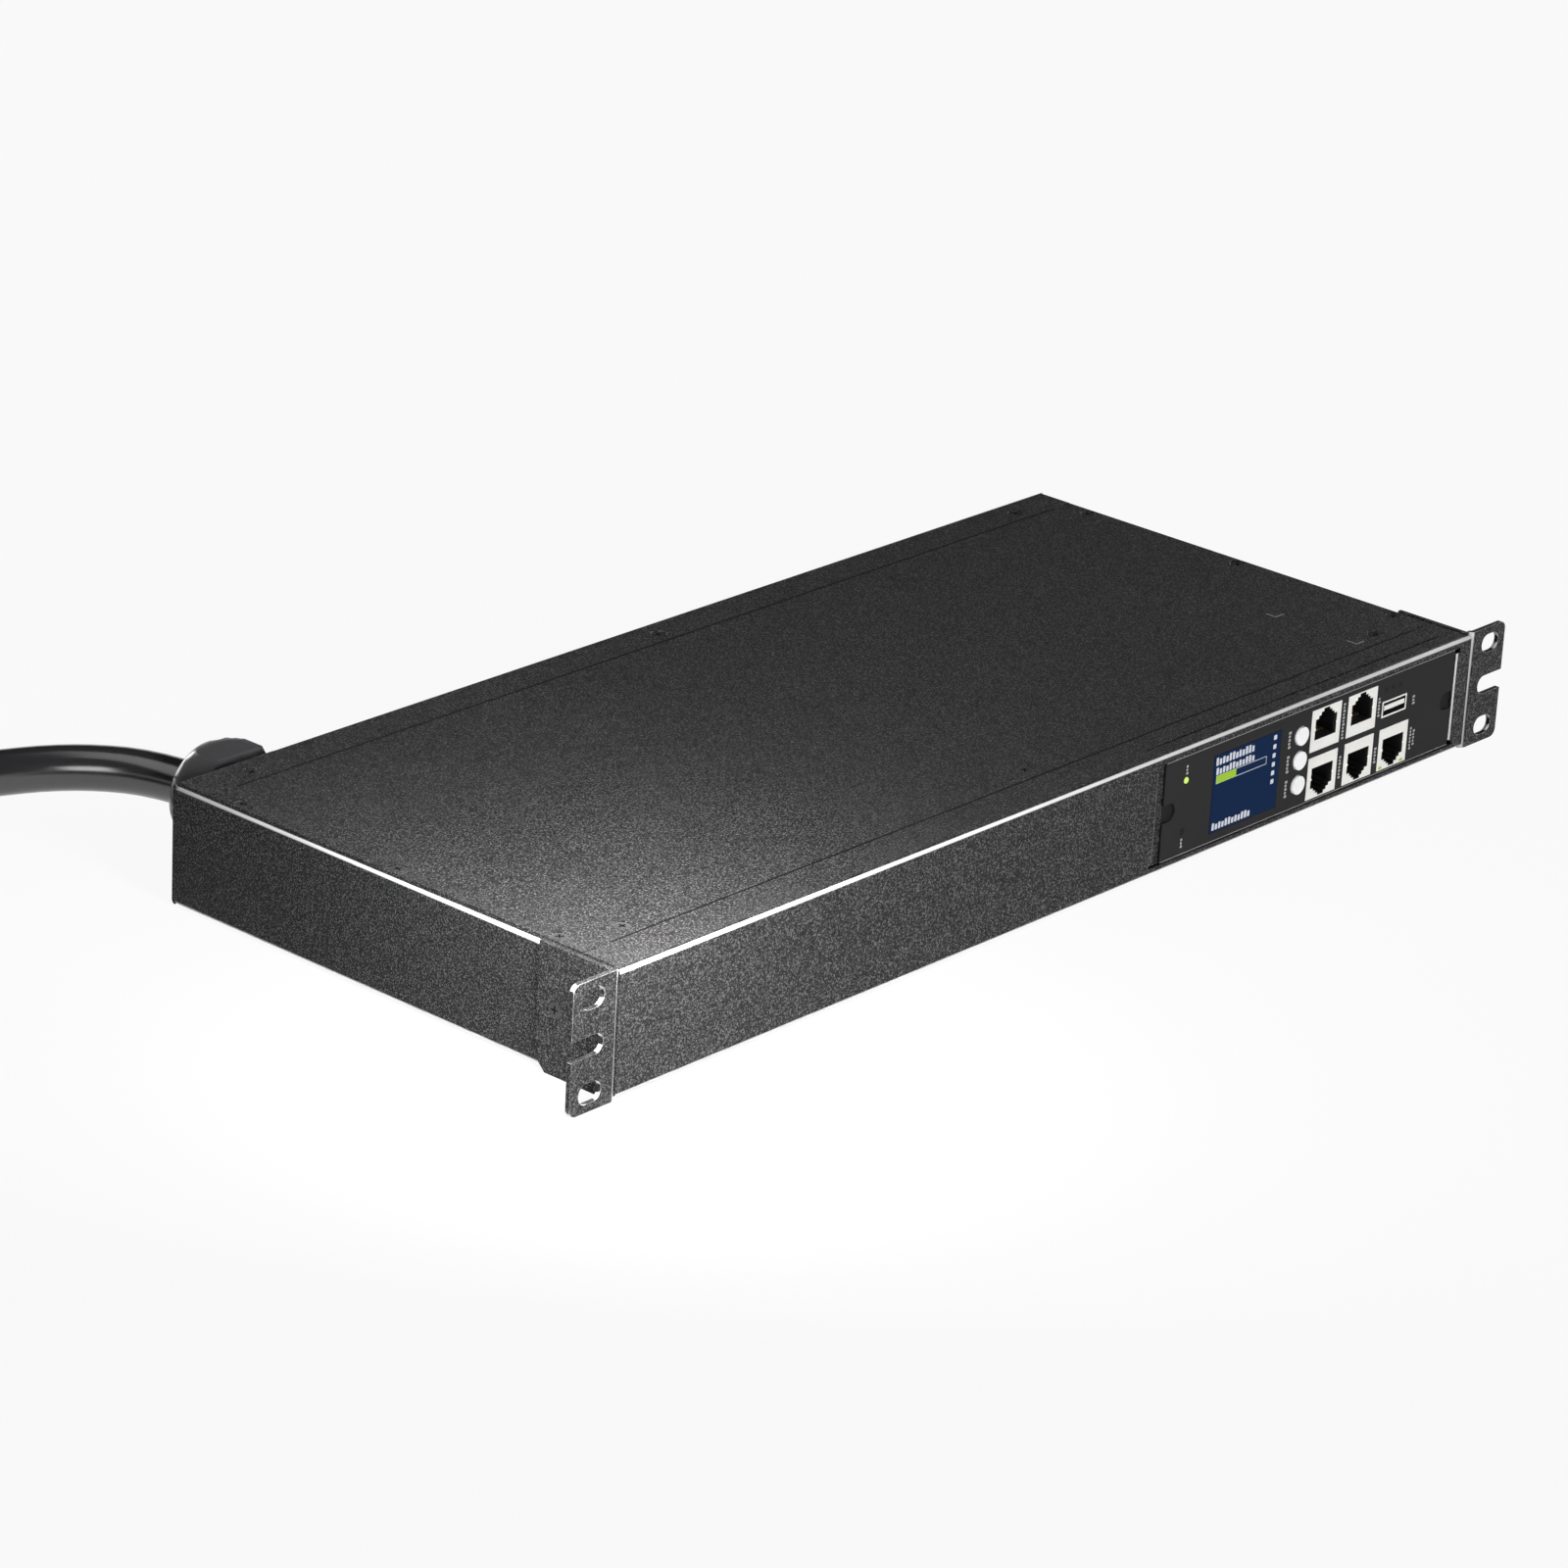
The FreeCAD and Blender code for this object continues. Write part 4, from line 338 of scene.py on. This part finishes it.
def soften(thing, width):
    weld = thing.modifiers.new("Weld", "WELD")
    weld.merge_threshold = 0.002 * MM
    bevel = thing.modifiers.new("Edges", "BEVEL")
    bevel.width = width
    bevel.segments = 2
    bevel.limit_method = "ANGLE"
    bevel.angle_limit = SHARP
    bevel.harden_normals = True
    bevel.use_clamp_overlap = True


for width, starts in SOFT_EDGES:
    for name, node in nodes.items():
        if name.startswith(starts):
            soften(node, width * MM)


# Pieces. Every maker takes millimetres, and every piece rides on the case.


def piece(name, form, material, smooth=False):
    mesh = bpy.data.meshes.new(name)
    bmesh.ops.recalc_face_normals(form, faces=form.faces)
    bmesh.ops.scale(form, vec=(MM, MM, MM), verts=form.verts)
    form.to_mesh(mesh)
    form.free()
    if smooth:
        mesh.shade_smooth()
        mesh.set_sharp_from_angle(angle=SHARP)
    mesh.materials.append(material)
    made = bpy.data.objects.new(name, mesh)
    bpy.context.scene.collection.objects.link(made)
    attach(made, CASE)
    return made


def bridge(form, first, second):
    """The faces between two rings of as many corners."""
    faces = []
    for i in range(len(first)):
        j = (i + 1) % len(first)
        faces.append(form.faces.new((first[i], second[i], second[j], first[j])))
    return faces


def prism(form, outline, near, far, upright=False):
    """Adds a closed prism from an outline in X and Z, or in X and Y if upright."""

    def ring(level):
        if upright:
            return [form.verts.new((x, y, level)) for x, y in outline]
        return [form.verts.new((x, level, z)) for x, z in outline]

    front, back = ring(near), ring(far)
    form.faces.new(front)
    form.faces.new(back[::-1])
    bridge(form, front, back)


def rectangle(left, right, low, high):
    return [(left, low), (right, low), (right, high), (left, high)]


def rounded(x, z, width, height, radius, steps):
    """Outline of a rounded rectangle about its middle."""
    points = []
    corners = ((1, 1, 0), (-1, 1, 90), (-1, -1, 180), (1, -1, 270))
    for sign_x, sign_z, start in corners:
        cx = x + sign_x * (width / 2 - radius)
        cz = z + sign_z * (height / 2 - radius)
        for step in range(steps + 1):
            angle = math.radians(start + 90 * step / steps)
            points.append((cx + radius * math.cos(angle), cz + radius * math.sin(angle)))
    return points


ROUNDING, WIDEST_ROUNDING, HAIR = 0.22, 0.3, 0.01


def disc(x, z, width, steps):
    """Outline of a round field, with sides a hair long so that no two points meet."""
    return rounded(x, z, width, width, width / 2 - HAIR, steps)


def marks(name, boxes, material, front, back, slot):
    """A group of small rounded fields, each (x, z, width, height)."""
    form = bmesh.new()
    for x, z, width, height in boxes:
        radius = min(WIDEST_ROUNDING, min(width, height) * ROUNDING)
        prism(form, rounded(x, z, width, height, radius, 3), front, back)
    piece(name, form, material)


# The module's face. The faceplate lies at y -1.2. Thin fields stand 0.04 mm proud of it
# and reach 0.03 mm into it.

THIN, BACKED = -1.24, -1.17

# Each jack's middle, and 1 where its latch is on top. Teeth are placed from that middle,
# contacts from the wall across from the latch.
JACKS = [(136.95, 8.05, 1), (157.9, 8.05, 1)]
JACKS += [(x, -9.85, -1) for x in (136.95, 157.9, 178.35)]
TOOTH_X, TOOTH_Z, TOOTH_SIZE, TOOTH_DEPTHS = 6.35, 0.4, (1.1, 0.75), (-1.34, -1.27)
CONTACTS, CONTACT_PITCH, CONTACT_HALF = 8, 1.27, 0.22
CONTACT_WALL, CONTACT_RISES, CONTACT_DEPTHS = 3.65, (0.15, 0.75), (3.5, 10.0)

# Columns of bars in the place of printed words: x, low and high end, and where they
# aren't the usual ones, width, bar and gap.
LABELS = [(59.0, 10.9, 15.2), (58.7, -15.9, -11.8)]
LABELS += [(116.4, low, low + 6.4, 1.4, 0.95, 0.4) for low in (5.1, -4.0, -13.2)]
LABELS += [
    (147.4, 0.6, 15.4, 1.3),
    (147.4, -14.2, -5.6, 1.3),
    (168.1, 3.6, 11.6, 1.3),
    (168.2, -14.0, -7.0, 1.3),
    (188.9, 3.1, 7.4, 1.5),
    (189.0, -14.2, -5.5, 1.1),
    (190.9, -13.0, -6.3, 1.1),
]
# Painted highlights along the faceplate's bottom and top edges, each (x, z, width, height).
EDGE_HIGHLIGHTS = [(129.6, -18.32, 164.3, 0.22), (129.6, 17.78, 164.3, 0.18)]
LINK_LAMPS, LINK_DEPTHS = [(x, -16.75, 1.9, 1.0) for x in (171.8, 184.2)], (-1.36, -1.28)
VENT_X, VENT_Z, VENT_WIDTH = (171.6, 175.8, 180.0), 13.0, 1.9
RESET_X, RESET_Z, RESET_WIDTH, RESET_FRONT = 58.75, -10.1, 2.0, -1.22


def ticks(x, low, high, width=1.1, letter=0.85, gap=0.42):
    """A column of small bars where a printed word stands, without lettering."""
    boxes, place, count = [], low, 0
    while place + letter <= high + 0.01:
        share = (1.0, 0.72, 0.88, 0.72)[count % 4]
        middle = x - width * (1 - share) / 2
        boxes.append((middle, place + letter / 2, width * share, letter))
        place += letter + gap
        count += 1
    return boxes


def word(left, right, low, height, letter=1.25, gap=0.55):
    """A row of small bars in the place of a line of writing on the screen."""
    boxes, place, count = [], left, 0
    while place + letter <= right + 0.01:
        tall = height * (1.0, 0.78, 0.9, 0.78, 1.0)[count % 5]
        boxes.append((place + letter / 2, low + tall / 2, letter, tall))
        place += letter + gap
        count += 1
    return boxes


def outline_bars(left, right, low, high, line):
    """Four thin bars round a field."""
    across, rise = (left + right) / 2, (low + high) / 2
    return [
        (across, low, right - left + line, line),
        (across, high, right - left + line, line),
        (left, rise, line, high - low),
        (right, rise, line, high - low),
    ]


def make_prints():
    """Labels, the two pale lines painted as highlights along the faceplate's edges, and
    painted shade in the vent dots and the reset rim.
    """
    labels = [box for column in LABELS for box in ticks(*column)]
    marks("face_labels", labels, PRINT, THIN, BACKED, "button_plastic")
    marks("face_edge_highlights", EDGE_HIGHLIGHTS, PAINTED_HIGHLIGHT, THIN, BACKED, "button_plastic")
    # Painted shade: dark dots in the vents and a dark rim round the reset plunger.
    form = bmesh.new()
    for x in VENT_X:
        prism(form, disc(x, VENT_Z, VENT_WIDTH, 6), THIN, BACKED)
    piece("vent_dots", form, PAINTED_SHADE)
    form = bmesh.new()
    prism(form, disc(RESET_X, RESET_Z, RESET_WIDTH, 8), RESET_FRONT, BACKED)
    piece("reset_rim", form, PAINTED_SHADE)


def make_jack_details():
    """Teeth in the mouths' steps, contacts inside them, and the link lamps below."""
    teeth = []
    for x, z, up in JACKS:
        for side in (-1, 1):
            teeth.append((x + side * TOOTH_X, z + up * TOOTH_Z, *TOOTH_SIZE))
    marks("jack_teeth", teeth, WHITE, *TOOTH_DEPTHS, "jack_plastic")
    form = bmesh.new()
    for x, z, up in JACKS:
        wall = z - up * CONTACT_WALL
        low, high = sorted(wall + up * rise for rise in CONTACT_RISES)
        first = x - CONTACT_PITCH * (CONTACTS - 1) / 2
        for number in range(CONTACTS):
            place = first + CONTACT_PITCH * number
            outline = rectangle(place - CONTACT_HALF, place + CONTACT_HALF, low, high)
            prism(form, outline, *CONTACT_DEPTHS)
    piece("jack_contacts", form, GOLD)
    marks("link_lamps", LINK_LAMPS, LIME, *LINK_DEPTHS, "light_pipe")


# The thumb notches: the faceplate's ends with the way into it, the middle's height, the
# straight run, its round end, and the depths of the dark field of painted shade on its floor.

NOTCH_EDGES = ((47.25, 1), (212.15, -1))
NOTCH_Z, NOTCH_RUN, NOTCH_RADIUS, NOTCH_STEPS = -0.9, 3.45, 3.25, 16
NOTCH_DEPTHS = (-0.45, -0.39)


def make_notch_floors():
    """Dark fields of painted shade on the floors of the two thumb notches, on the carrier
    behind the faceplate.
    """
    form = bmesh.new()
    for edge, way in NOTCH_EDGES:
        outline = [(edge, NOTCH_Z + NOTCH_RADIUS), (edge, NOTCH_Z - NOTCH_RADIUS)]
        for step in range(NOTCH_STEPS + 1):
            angle = math.radians(-90 + 180 * step / NOTCH_STEPS)
            across = NOTCH_RUN + NOTCH_RADIUS * math.cos(angle)
            outline.append((edge + way * across, NOTCH_Z + NOTCH_RADIUS * math.sin(angle)))
        prism(form, outline[::way], *NOTCH_DEPTHS)
    piece("notch_floors", form, PAINTED_SHADE)


# The screen's page. Each group of marks stands a little further forward than the last.

PAGE, PAGE_DEPTHS = (92.65, -0.9, 37.1, 28.6), (-1.175, -1.14)
WRITING = [(75.2, 97.4, 9.6, 2.9), (75.6, 98.4, 6.1, 2.6), (75.4, 97.6, -14.4, 2.7)]
SIDE_MARKS = [(108.0, z, 1.7, 1.7) for z in (11.6, 8.2, 4.9, 1.6, -1.6, -4.8)]
LEVEL, LEVEL_OUTLINE = (81.4, 4.3, 10.9, 2.9), (75.9, 103.7, 2.9, 5.7, 0.22)
OUTLINE_FRONT, WRITING_FRONT, LEVEL_FRONT = -1.192, -1.195, -1.2


def make_display():
    """A generic page: lines of bars, a level bar and a column of small marks."""
    marks("display_field", [PAGE], SCREEN, *PAGE_DEPTHS, "screen_glass")
    writing = [box for row in WRITING for box in word(*row)] + SIDE_MARKS
    marks("display_marks", writing, BRIGHT, WRITING_FRONT, BACKED, "screen_glass")
    bars = outline_bars(*LEVEL_OUTLINE)
    marks("display_outline", bars, BRIGHT, OUTLINE_FRONT, BACKED, "screen_glass")
    marks("display_level", [LEVEL], LIME, LEVEL_FRONT, BACKED, "screen_glass")


make_prints()
make_jack_details()
make_notch_floors()
make_display()


# Screws: round countersunk heads with a cross recess, in place of the plain solids.

# Radius and drop of each ring, from the head down to the tip.
SCREW_RINGS = ((2.55, 0.0), (2.72, 0.07), (1.82, 0.93), (1.42, 0.95), (1.42, 4.55), (0.9, 5.0))
SCREW_STEPS = 40
CROSS_ARM, CROSS_HALF, CROSS_DEPTH, CROSS_TAPER = 1.5, 0.33, 0.8, 0.8


def screw(form, turn):
    """Adds a screw whose head looks up at the origin, placed by a matrix.

    Gives the faces of its recess.
    """
    start = len(form.verts)
    rings = []
    for radius, drop in SCREW_RINGS:
        ring = []
        for step in range(SCREW_STEPS):
            angle = 2 * math.pi * step / SCREW_STEPS
            spot = (radius * math.cos(angle), radius * math.sin(angle), -drop)
            ring.append(form.verts.new(spot))
        rings.append(ring)
    for upper, lower in zip(rings, rings[1:]):
        bridge(form, upper, lower)
    form.faces.new(rings[-1][::-1])
    arm, half = CROSS_ARM, CROSS_HALF
    cross = [(arm, half), (half, half), (half, arm), (-half, arm), (-half, half), (-arm, half)]
    cross += [(-x, -y) for x, y in cross]
    top = [form.verts.new((x, y, 0.0)) for x, y in cross]
    deep = [
        form.verts.new((x * CROSS_TAPER, y * CROSS_TAPER, -CROSS_DEPTH)) for x, y in cross
    ]
    recess = bridge(form, top, deep)
    recess.append(form.faces.new(deep[::-1]))
    loops = []
    for ring in (rings[0], top):
        following = ring[1:] + ring[:1]
        loops += [form.edges.get(ends) for ends in zip(ring, following)]
    bmesh.ops.triangle_fill(form, use_beauty=True, use_dissolve=False, edges=loops)
    form.verts.ensure_lookup_table()
    bmesh.ops.transform(form, matrix=turn, verts=form.verts[start:])
    return recess


def make_screws(name, turns, replaced):
    form = bmesh.new()
    recesses = [face for turn in turns for face in screw(form, turn)]
    # The recess faces take the near-black painted shade.
    for face in recesses:
        face.material_index = 1
    made = piece(name, form, SCREW, smooth=True)
    made.data.materials.append(RECESS_SHADE)
    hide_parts(replaced)


COVER_HEADS = 21.15
COVER_PLACES = [(x, y) for x in (-195.0, 0.0, 195.0) for y in (22.0, 189.2)]
COVER_PLACES += [(x, y) for x in (-215.5, 215.5) for y in (29.2, 100.1, 171.0)]
EAR_HEADS, EAR_SCREW_Y = 222.2, 23.8

cover_turns = [
    Matrix.Translation((x, y, COVER_HEADS)) @ Matrix.Rotation(0.4 * number, 4, "Z")
    for number, (x, y) in enumerate(COVER_PLACES)
]
ear_turns = [
    Matrix.Translation((side * EAR_HEADS, EAR_SCREW_Y, 0.0))
    @ Matrix.Rotation(side * math.pi / 2, 4, "Y")
    for side in (-1, 1)
]
make_screws("case_screw_heads", cover_turns, "case_screws")
make_screws("ear_screw_heads", ear_turns, "ear_screws")


# Thin fields on the cover, whose top is at z 21.4: two faint corner marks, each with two
# arms, painted pale as highlights, and painted shade in the gaps at its ends.

CORNERS, CORNER_ARM, CORNER_LINE = ((181.1, 56.0), (181.5, 20.1)), 4.6, 0.5
CORNER_HEIGHTS = (21.35, 21.43)
GAPS_Y, GAP_HALF_WIDTH, GAP_HALF_LENGTH = (15.4, 182.8), 0.42, 207.4
GAP_HEIGHTS = (21.3, 21.415)


def plates(name, boxes, low, high, material):
    """Flat fields, each (left, right, front, back)."""
    form = bmesh.new()
    for box in boxes:
        prism(form, rectangle(*box), high, low, upright=True)
    piece(name, form, material)


def make_cover_lines():
    arms = []
    for x, y in CORNERS:
        arms.append((x, x + CORNER_ARM, y, y + CORNER_LINE))
        arms.append((x, x + CORNER_LINE, y + CORNER_LINE, y + CORNER_ARM))
    # The pale corner marks are painted highlights.
    plates("cover_mark_highlights", arms, *CORNER_HEIGHTS, PAINTED_HIGHLIGHT)
    gaps = []
    for y in GAPS_Y:
        front, back = y - GAP_HALF_WIDTH, y + GAP_HALF_WIDTH
        gaps.append((-GAP_HALF_LENGTH, GAP_HALF_LENGTH, front, back))
    # The dark strips over the seams are painted shade.
    plates("cover_gap_shade", gaps, *GAP_HEIGHTS, PAINTED_SHADE)


make_cover_lines()


# The cord: one smooth line through the gland, out of view, into its coil, to the plug.

GLAND_X, EXIT_Y, MOUTH_Y = -180.3, 204.8, 229.2
CLAMP_Y = 195.2
CORD = 15.8
ROUTE = [
    (GLAND_X, EXIT_Y, 0.0),
    (GLAND_X, EXIT_Y + 36.4, 0.0),
    (-195.0, 274.9, -2.5),
    (-221.8, 299.4, -7.0),
    (-274.4, 332.3, -12.0),
    (-343.2, 364.4, -14.3),
    (-390.6, 361.1, -14.3),
]
COIL = (-383.8, 263.3)
RADII = (98.0, 82.0, 66.0)
COIL_LOW, COIL_HIGH = -14.3, 1.5

# Degrees round the coil: its ends, the step between points, and where it moves to its
# middle and inner turn, rises, and moves out again.
COIL_START, COIL_END, COIL_STEP = 112.0, 1979.0, 18.0
TO_MIDDLE, TO_INNER, RISE = (375, 415), (695, 735), (1005, 1055)
BACK_TO_MIDDLE, BACK_TO_OUTER = (1325, 1365), (1640, 1680)


def smooth_step(low, high, span, angle):
    start, end = span
    share = min(1.0, max(0.0, (angle - start) / (end - start)))
    return low + (high - low) * share * share * (3 - 2 * share)


def coil_points():
    """Over five turns, inwards along the floor and then outwards on top of them.

    The spline runs inside its control points, so these stand a little further out.
    """
    outer, middle, inner = RADII
    inside = 0.75 + 0.25 * math.cos(math.radians(COIL_STEP))
    points = []
    angle = COIL_START
    while angle < COIL_END:
        radius = smooth_step(outer, middle, TO_MIDDLE, angle)
        radius += smooth_step(0, inner - middle, TO_INNER, angle)
        radius += smooth_step(0, middle - inner, BACK_TO_MIDDLE, angle)
        radius += smooth_step(0, outer - middle, BACK_TO_OUTER, angle)
        height = smooth_step(COIL_LOW, COIL_HIGH, RISE, angle)
        reach = radius / inside
        turn = math.radians(angle)
        points.append(
            (COIL[0] + reach * math.cos(turn), COIL[1] + reach * math.sin(turn), height)
        )
        angle += COIL_STEP
    return points


def make_cord():
    side = COIL[0] - RADII[0]
    tail = [(side, y, COIL_HIGH) for y in (COIL[1] - 18.0, CLAMP_Y)]
    points = ROUTE + coil_points() + tail
    curve = bpy.data.curves.new("mains_cord_line", "CURVE")
    curve.dimensions = "3D"
    curve.bevel_depth = CORD / 2 * MM
    curve.bevel_resolution = 8
    curve.resolution_u = 6
    curve.use_fill_caps = True
    spline = curve.splines.new("NURBS")
    spline.points.add(len(points) - 1)
    for target, point in zip(spline.points, points):
        target.co = (*(Vector(point) * MM), 1.0)
    spline.order_u = 3
    spline.use_endpoint_u = True
    cord = bpy.data.objects.new("mains_cord_flex", curve)
    bpy.context.scene.collection.objects.link(cord)
    curve.materials.append(JACKET)
    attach(cord, CASE)
    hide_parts("mains_cord", "cord_coil", "cord_tail")


make_cord()


# The gland's dome nut, turned smooth: hexagon in front, dome behind, mouth round the cord.

DOME_FLAT, DOME_MOUTH = 17.5, 9.1
DOME_STEPS = 96

# Y and widest radius of each ring. Where it is wider, the hexagon's flats cut it.
DOME_RINGS = [
    (210.2, 20.3),
    (210.9, 21.0),
    (218.6, 20.6),
    (221.0, 19.65),
    (223.6, 18.65),
    (226.0, 16.9),
    (227.9, 14.6),
    (228.9, 12.4),
    (MOUTH_Y, 11.2),
    (229.1, 9.9),
    (228.4, DOME_MOUTH),
    (212.0, DOME_MOUTH),
]


def make_dome_nut():
    form = bmesh.new()
    rings = []
    for y, radius in DOME_RINGS:
        ring = []
        for step in range(DOME_STEPS):
            angle = 2 * math.pi * step / DOME_STEPS
            sector = (angle + math.pi / 6) % (math.pi / 3) - math.pi / 6
            reach = min(radius, DOME_FLAT / math.cos(sector))
            spot = (GLAND_X + reach * math.sin(angle), y, reach * math.cos(angle))
            ring.append(form.verts.new(spot))
        rings.append(ring)
    for near, far in zip(rings, rings[1:] + rings[:1]):
        bridge(form, near, far)
    made = piece("gland_dome", form, GLAND, smooth=True)
    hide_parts("gland_dome_nut")


make_dome_nut()


# Camera, at the photograph's angle.

AZIMUTH, ELEVATION, ROLL = (math.radians(value) for value in (-49.142, 22.072, 3.057))
EYE = Vector((-1434.480, -1113.187, 752.602)) * MM
LENS, SENSOR = 135.74, 36.0


def make_camera():
    back = Vector(
        (
            math.sin(AZIMUTH) * math.cos(ELEVATION),
            -math.cos(AZIMUTH) * math.cos(ELEVATION),
            math.sin(ELEVATION),
        )
    )
    level = Vector((math.cos(AZIMUTH), math.sin(AZIMUTH), 0.0))
    upward = back.cross(level)
    right = level * math.cos(ROLL) + upward * math.sin(ROLL)
    above = upward * math.cos(ROLL) - level * math.sin(ROLL)
    data = bpy.data.cameras.new("camera")
    data.lens = LENS
    data.sensor_width = SENSOR
    data.clip_start = 0.05
    data.clip_end = 100.0
    camera = bpy.data.objects.new("camera", data)
    bpy.context.scene.collection.objects.link(camera)
    turn = Matrix((right, above, back)).transposed().to_4x4()
    camera.matrix_world = Matrix.Translation(EYE) @ turn
    bpy.context.scene.camera = camera


make_camera()


# Floor, world and lamps, in metres and watts.

FLOOR_REACH = 30.0
FLOOR_GREY = 0.5
WHITE_SHARE = 0.93
HORIZON, OVERHEAD = (0.13, 1.0), (0.17, 0.02)
CENTRE, REAR = (0.0, 0.0, 0.0), (0.0, 0.1, 0.0)

# Name, place, target, size, power and shape.
LAMPS = [
    ("front", (0.25, -2.4, 0.5), CENTRE, 1.0, 42.0, "SQUARE"),
    ("cord_left", (-2.2, -0.1, 0.45), (-0.2, 0.26, 0.0), 0.85, 13.0, "SQUARE"),
    ("bend_front", (1.54, -0.83, 1.34), CENTRE, 1.2, 7.0, "SQUARE"),
    ("bend_left", (-0.75, 1.22, 1.4), (-0.1, 0.1, 0.0), 1.2, 6.0, "SQUARE"),
    ("rear", (0.2, 2.6, 0.3), REAR, 1.0, 34.0, "SQUARE"),
    ("right", (2.6, 0.5, 0.25), REAR, 1.0, 24.0, "SQUARE"),
    ("near_left", (-0.25, -0.034, 0.12), (-0.12, 0.06, 0.0), 0.06, 1.5, "DISK"),
]

# The kinds of ray that don't meet a lamp.
UNSEEN = {"cord_left": ["diffuse"], "near_left": ["camera", "glossy"]}


def make_floor():
    """White to the camera and in reflections, grey with shadows to the light."""
    mesh = bpy.data.meshes.new("floor")
    corners = rectangle(-FLOOR_REACH, FLOOR_REACH, -FLOOR_REACH, FLOOR_REACH)
    mesh.from_pydata([(x, y, FLOOR) for x, y in corners], [], [(0, 1, 2, 3)])
    floor = bpy.data.objects.new("floor", mesh)
    bpy.context.scene.collection.objects.link(floor)
    material = bpy.data.materials.new("pale_floor")
    material.use_nodes = True
    tree = material.node_tree
    tree.nodes.clear()
    output = tree.nodes.new("ShaderNodeOutputMaterial")
    diffuse = tree.nodes.new("ShaderNodeBsdfDiffuse")
    diffuse.inputs["Color"].default_value = (FLOOR_GREY, FLOOR_GREY, FLOOR_GREY, 1.0)
    glow = tree.nodes.new("ShaderNodeEmission")
    glow.inputs["Strength"].default_value = 1.0
    mix = tree.nodes.new("ShaderNodeMixShader")
    rays = tree.nodes.new("ShaderNodeLightPath").outputs
    seen = rays["Is Camera Ray"]
    for ray in ("Is Glossy Ray", "Is Transmission Ray"):
        seen = combine(tree, "MAXIMUM", seen, rays[ray])
    share = combine(tree, "MULTIPLY", seen, WHITE_SHARE)
    tree.links.new(share, mix.inputs["Fac"])
    tree.links.new(diffuse.outputs[0], mix.inputs[1])
    tree.links.new(glow.outputs[0], mix.inputs[2])
    tree.links.new(mix.outputs[0], output.inputs["Surface"])
    mesh.materials.append(material)


def make_world():
    """White near the horizon, where the floor ends, and dim overhead."""
    world = bpy.data.worlds.new("studio")
    bpy.context.scene.world = world
    world.use_nodes = True
    tree = world.node_tree
    background = tree.nodes["Background"]
    place = tree.nodes.new("ShaderNodeTexCoord")
    split = tree.nodes.new("ShaderNodeSeparateXYZ")
    tree.links.new(place.outputs["Generated"], split.inputs["Vector"])
    ramp = tree.nodes.new("ShaderNodeValToRGB")
    for stop, (height, grey) in zip(ramp.color_ramp.elements, (HORIZON, OVERHEAD)):
        stop.position = height
        stop.color = (grey, grey, grey, 1.0)
    tree.links.new(split.outputs["Z"], ramp.inputs["Fac"])
    tree.links.new(ramp.outputs["Color"], background.inputs["Color"])
    background.inputs["Strength"].default_value = 1.0


def make_lamps():
    for name, place, target, size, power, shape in LAMPS:
        data = bpy.data.lights.new(name, "AREA")
        data.energy = power
        data.shape = shape
        data.size = size
        made = bpy.data.objects.new(name, data)
        bpy.context.scene.collection.objects.link(made)
        made.location = Vector(place)
        aim = Vector(target) - Vector(place)
        made.rotation_euler = aim.to_track_quat("-Z", "Y").to_euler()
        for ray in UNSEEN.get(name, []):
            setattr(made, "visible_" + ray, False)


make_floor()
make_world()
make_lamps()

bpy.context.scene.view_settings.view_transform = "Standard"
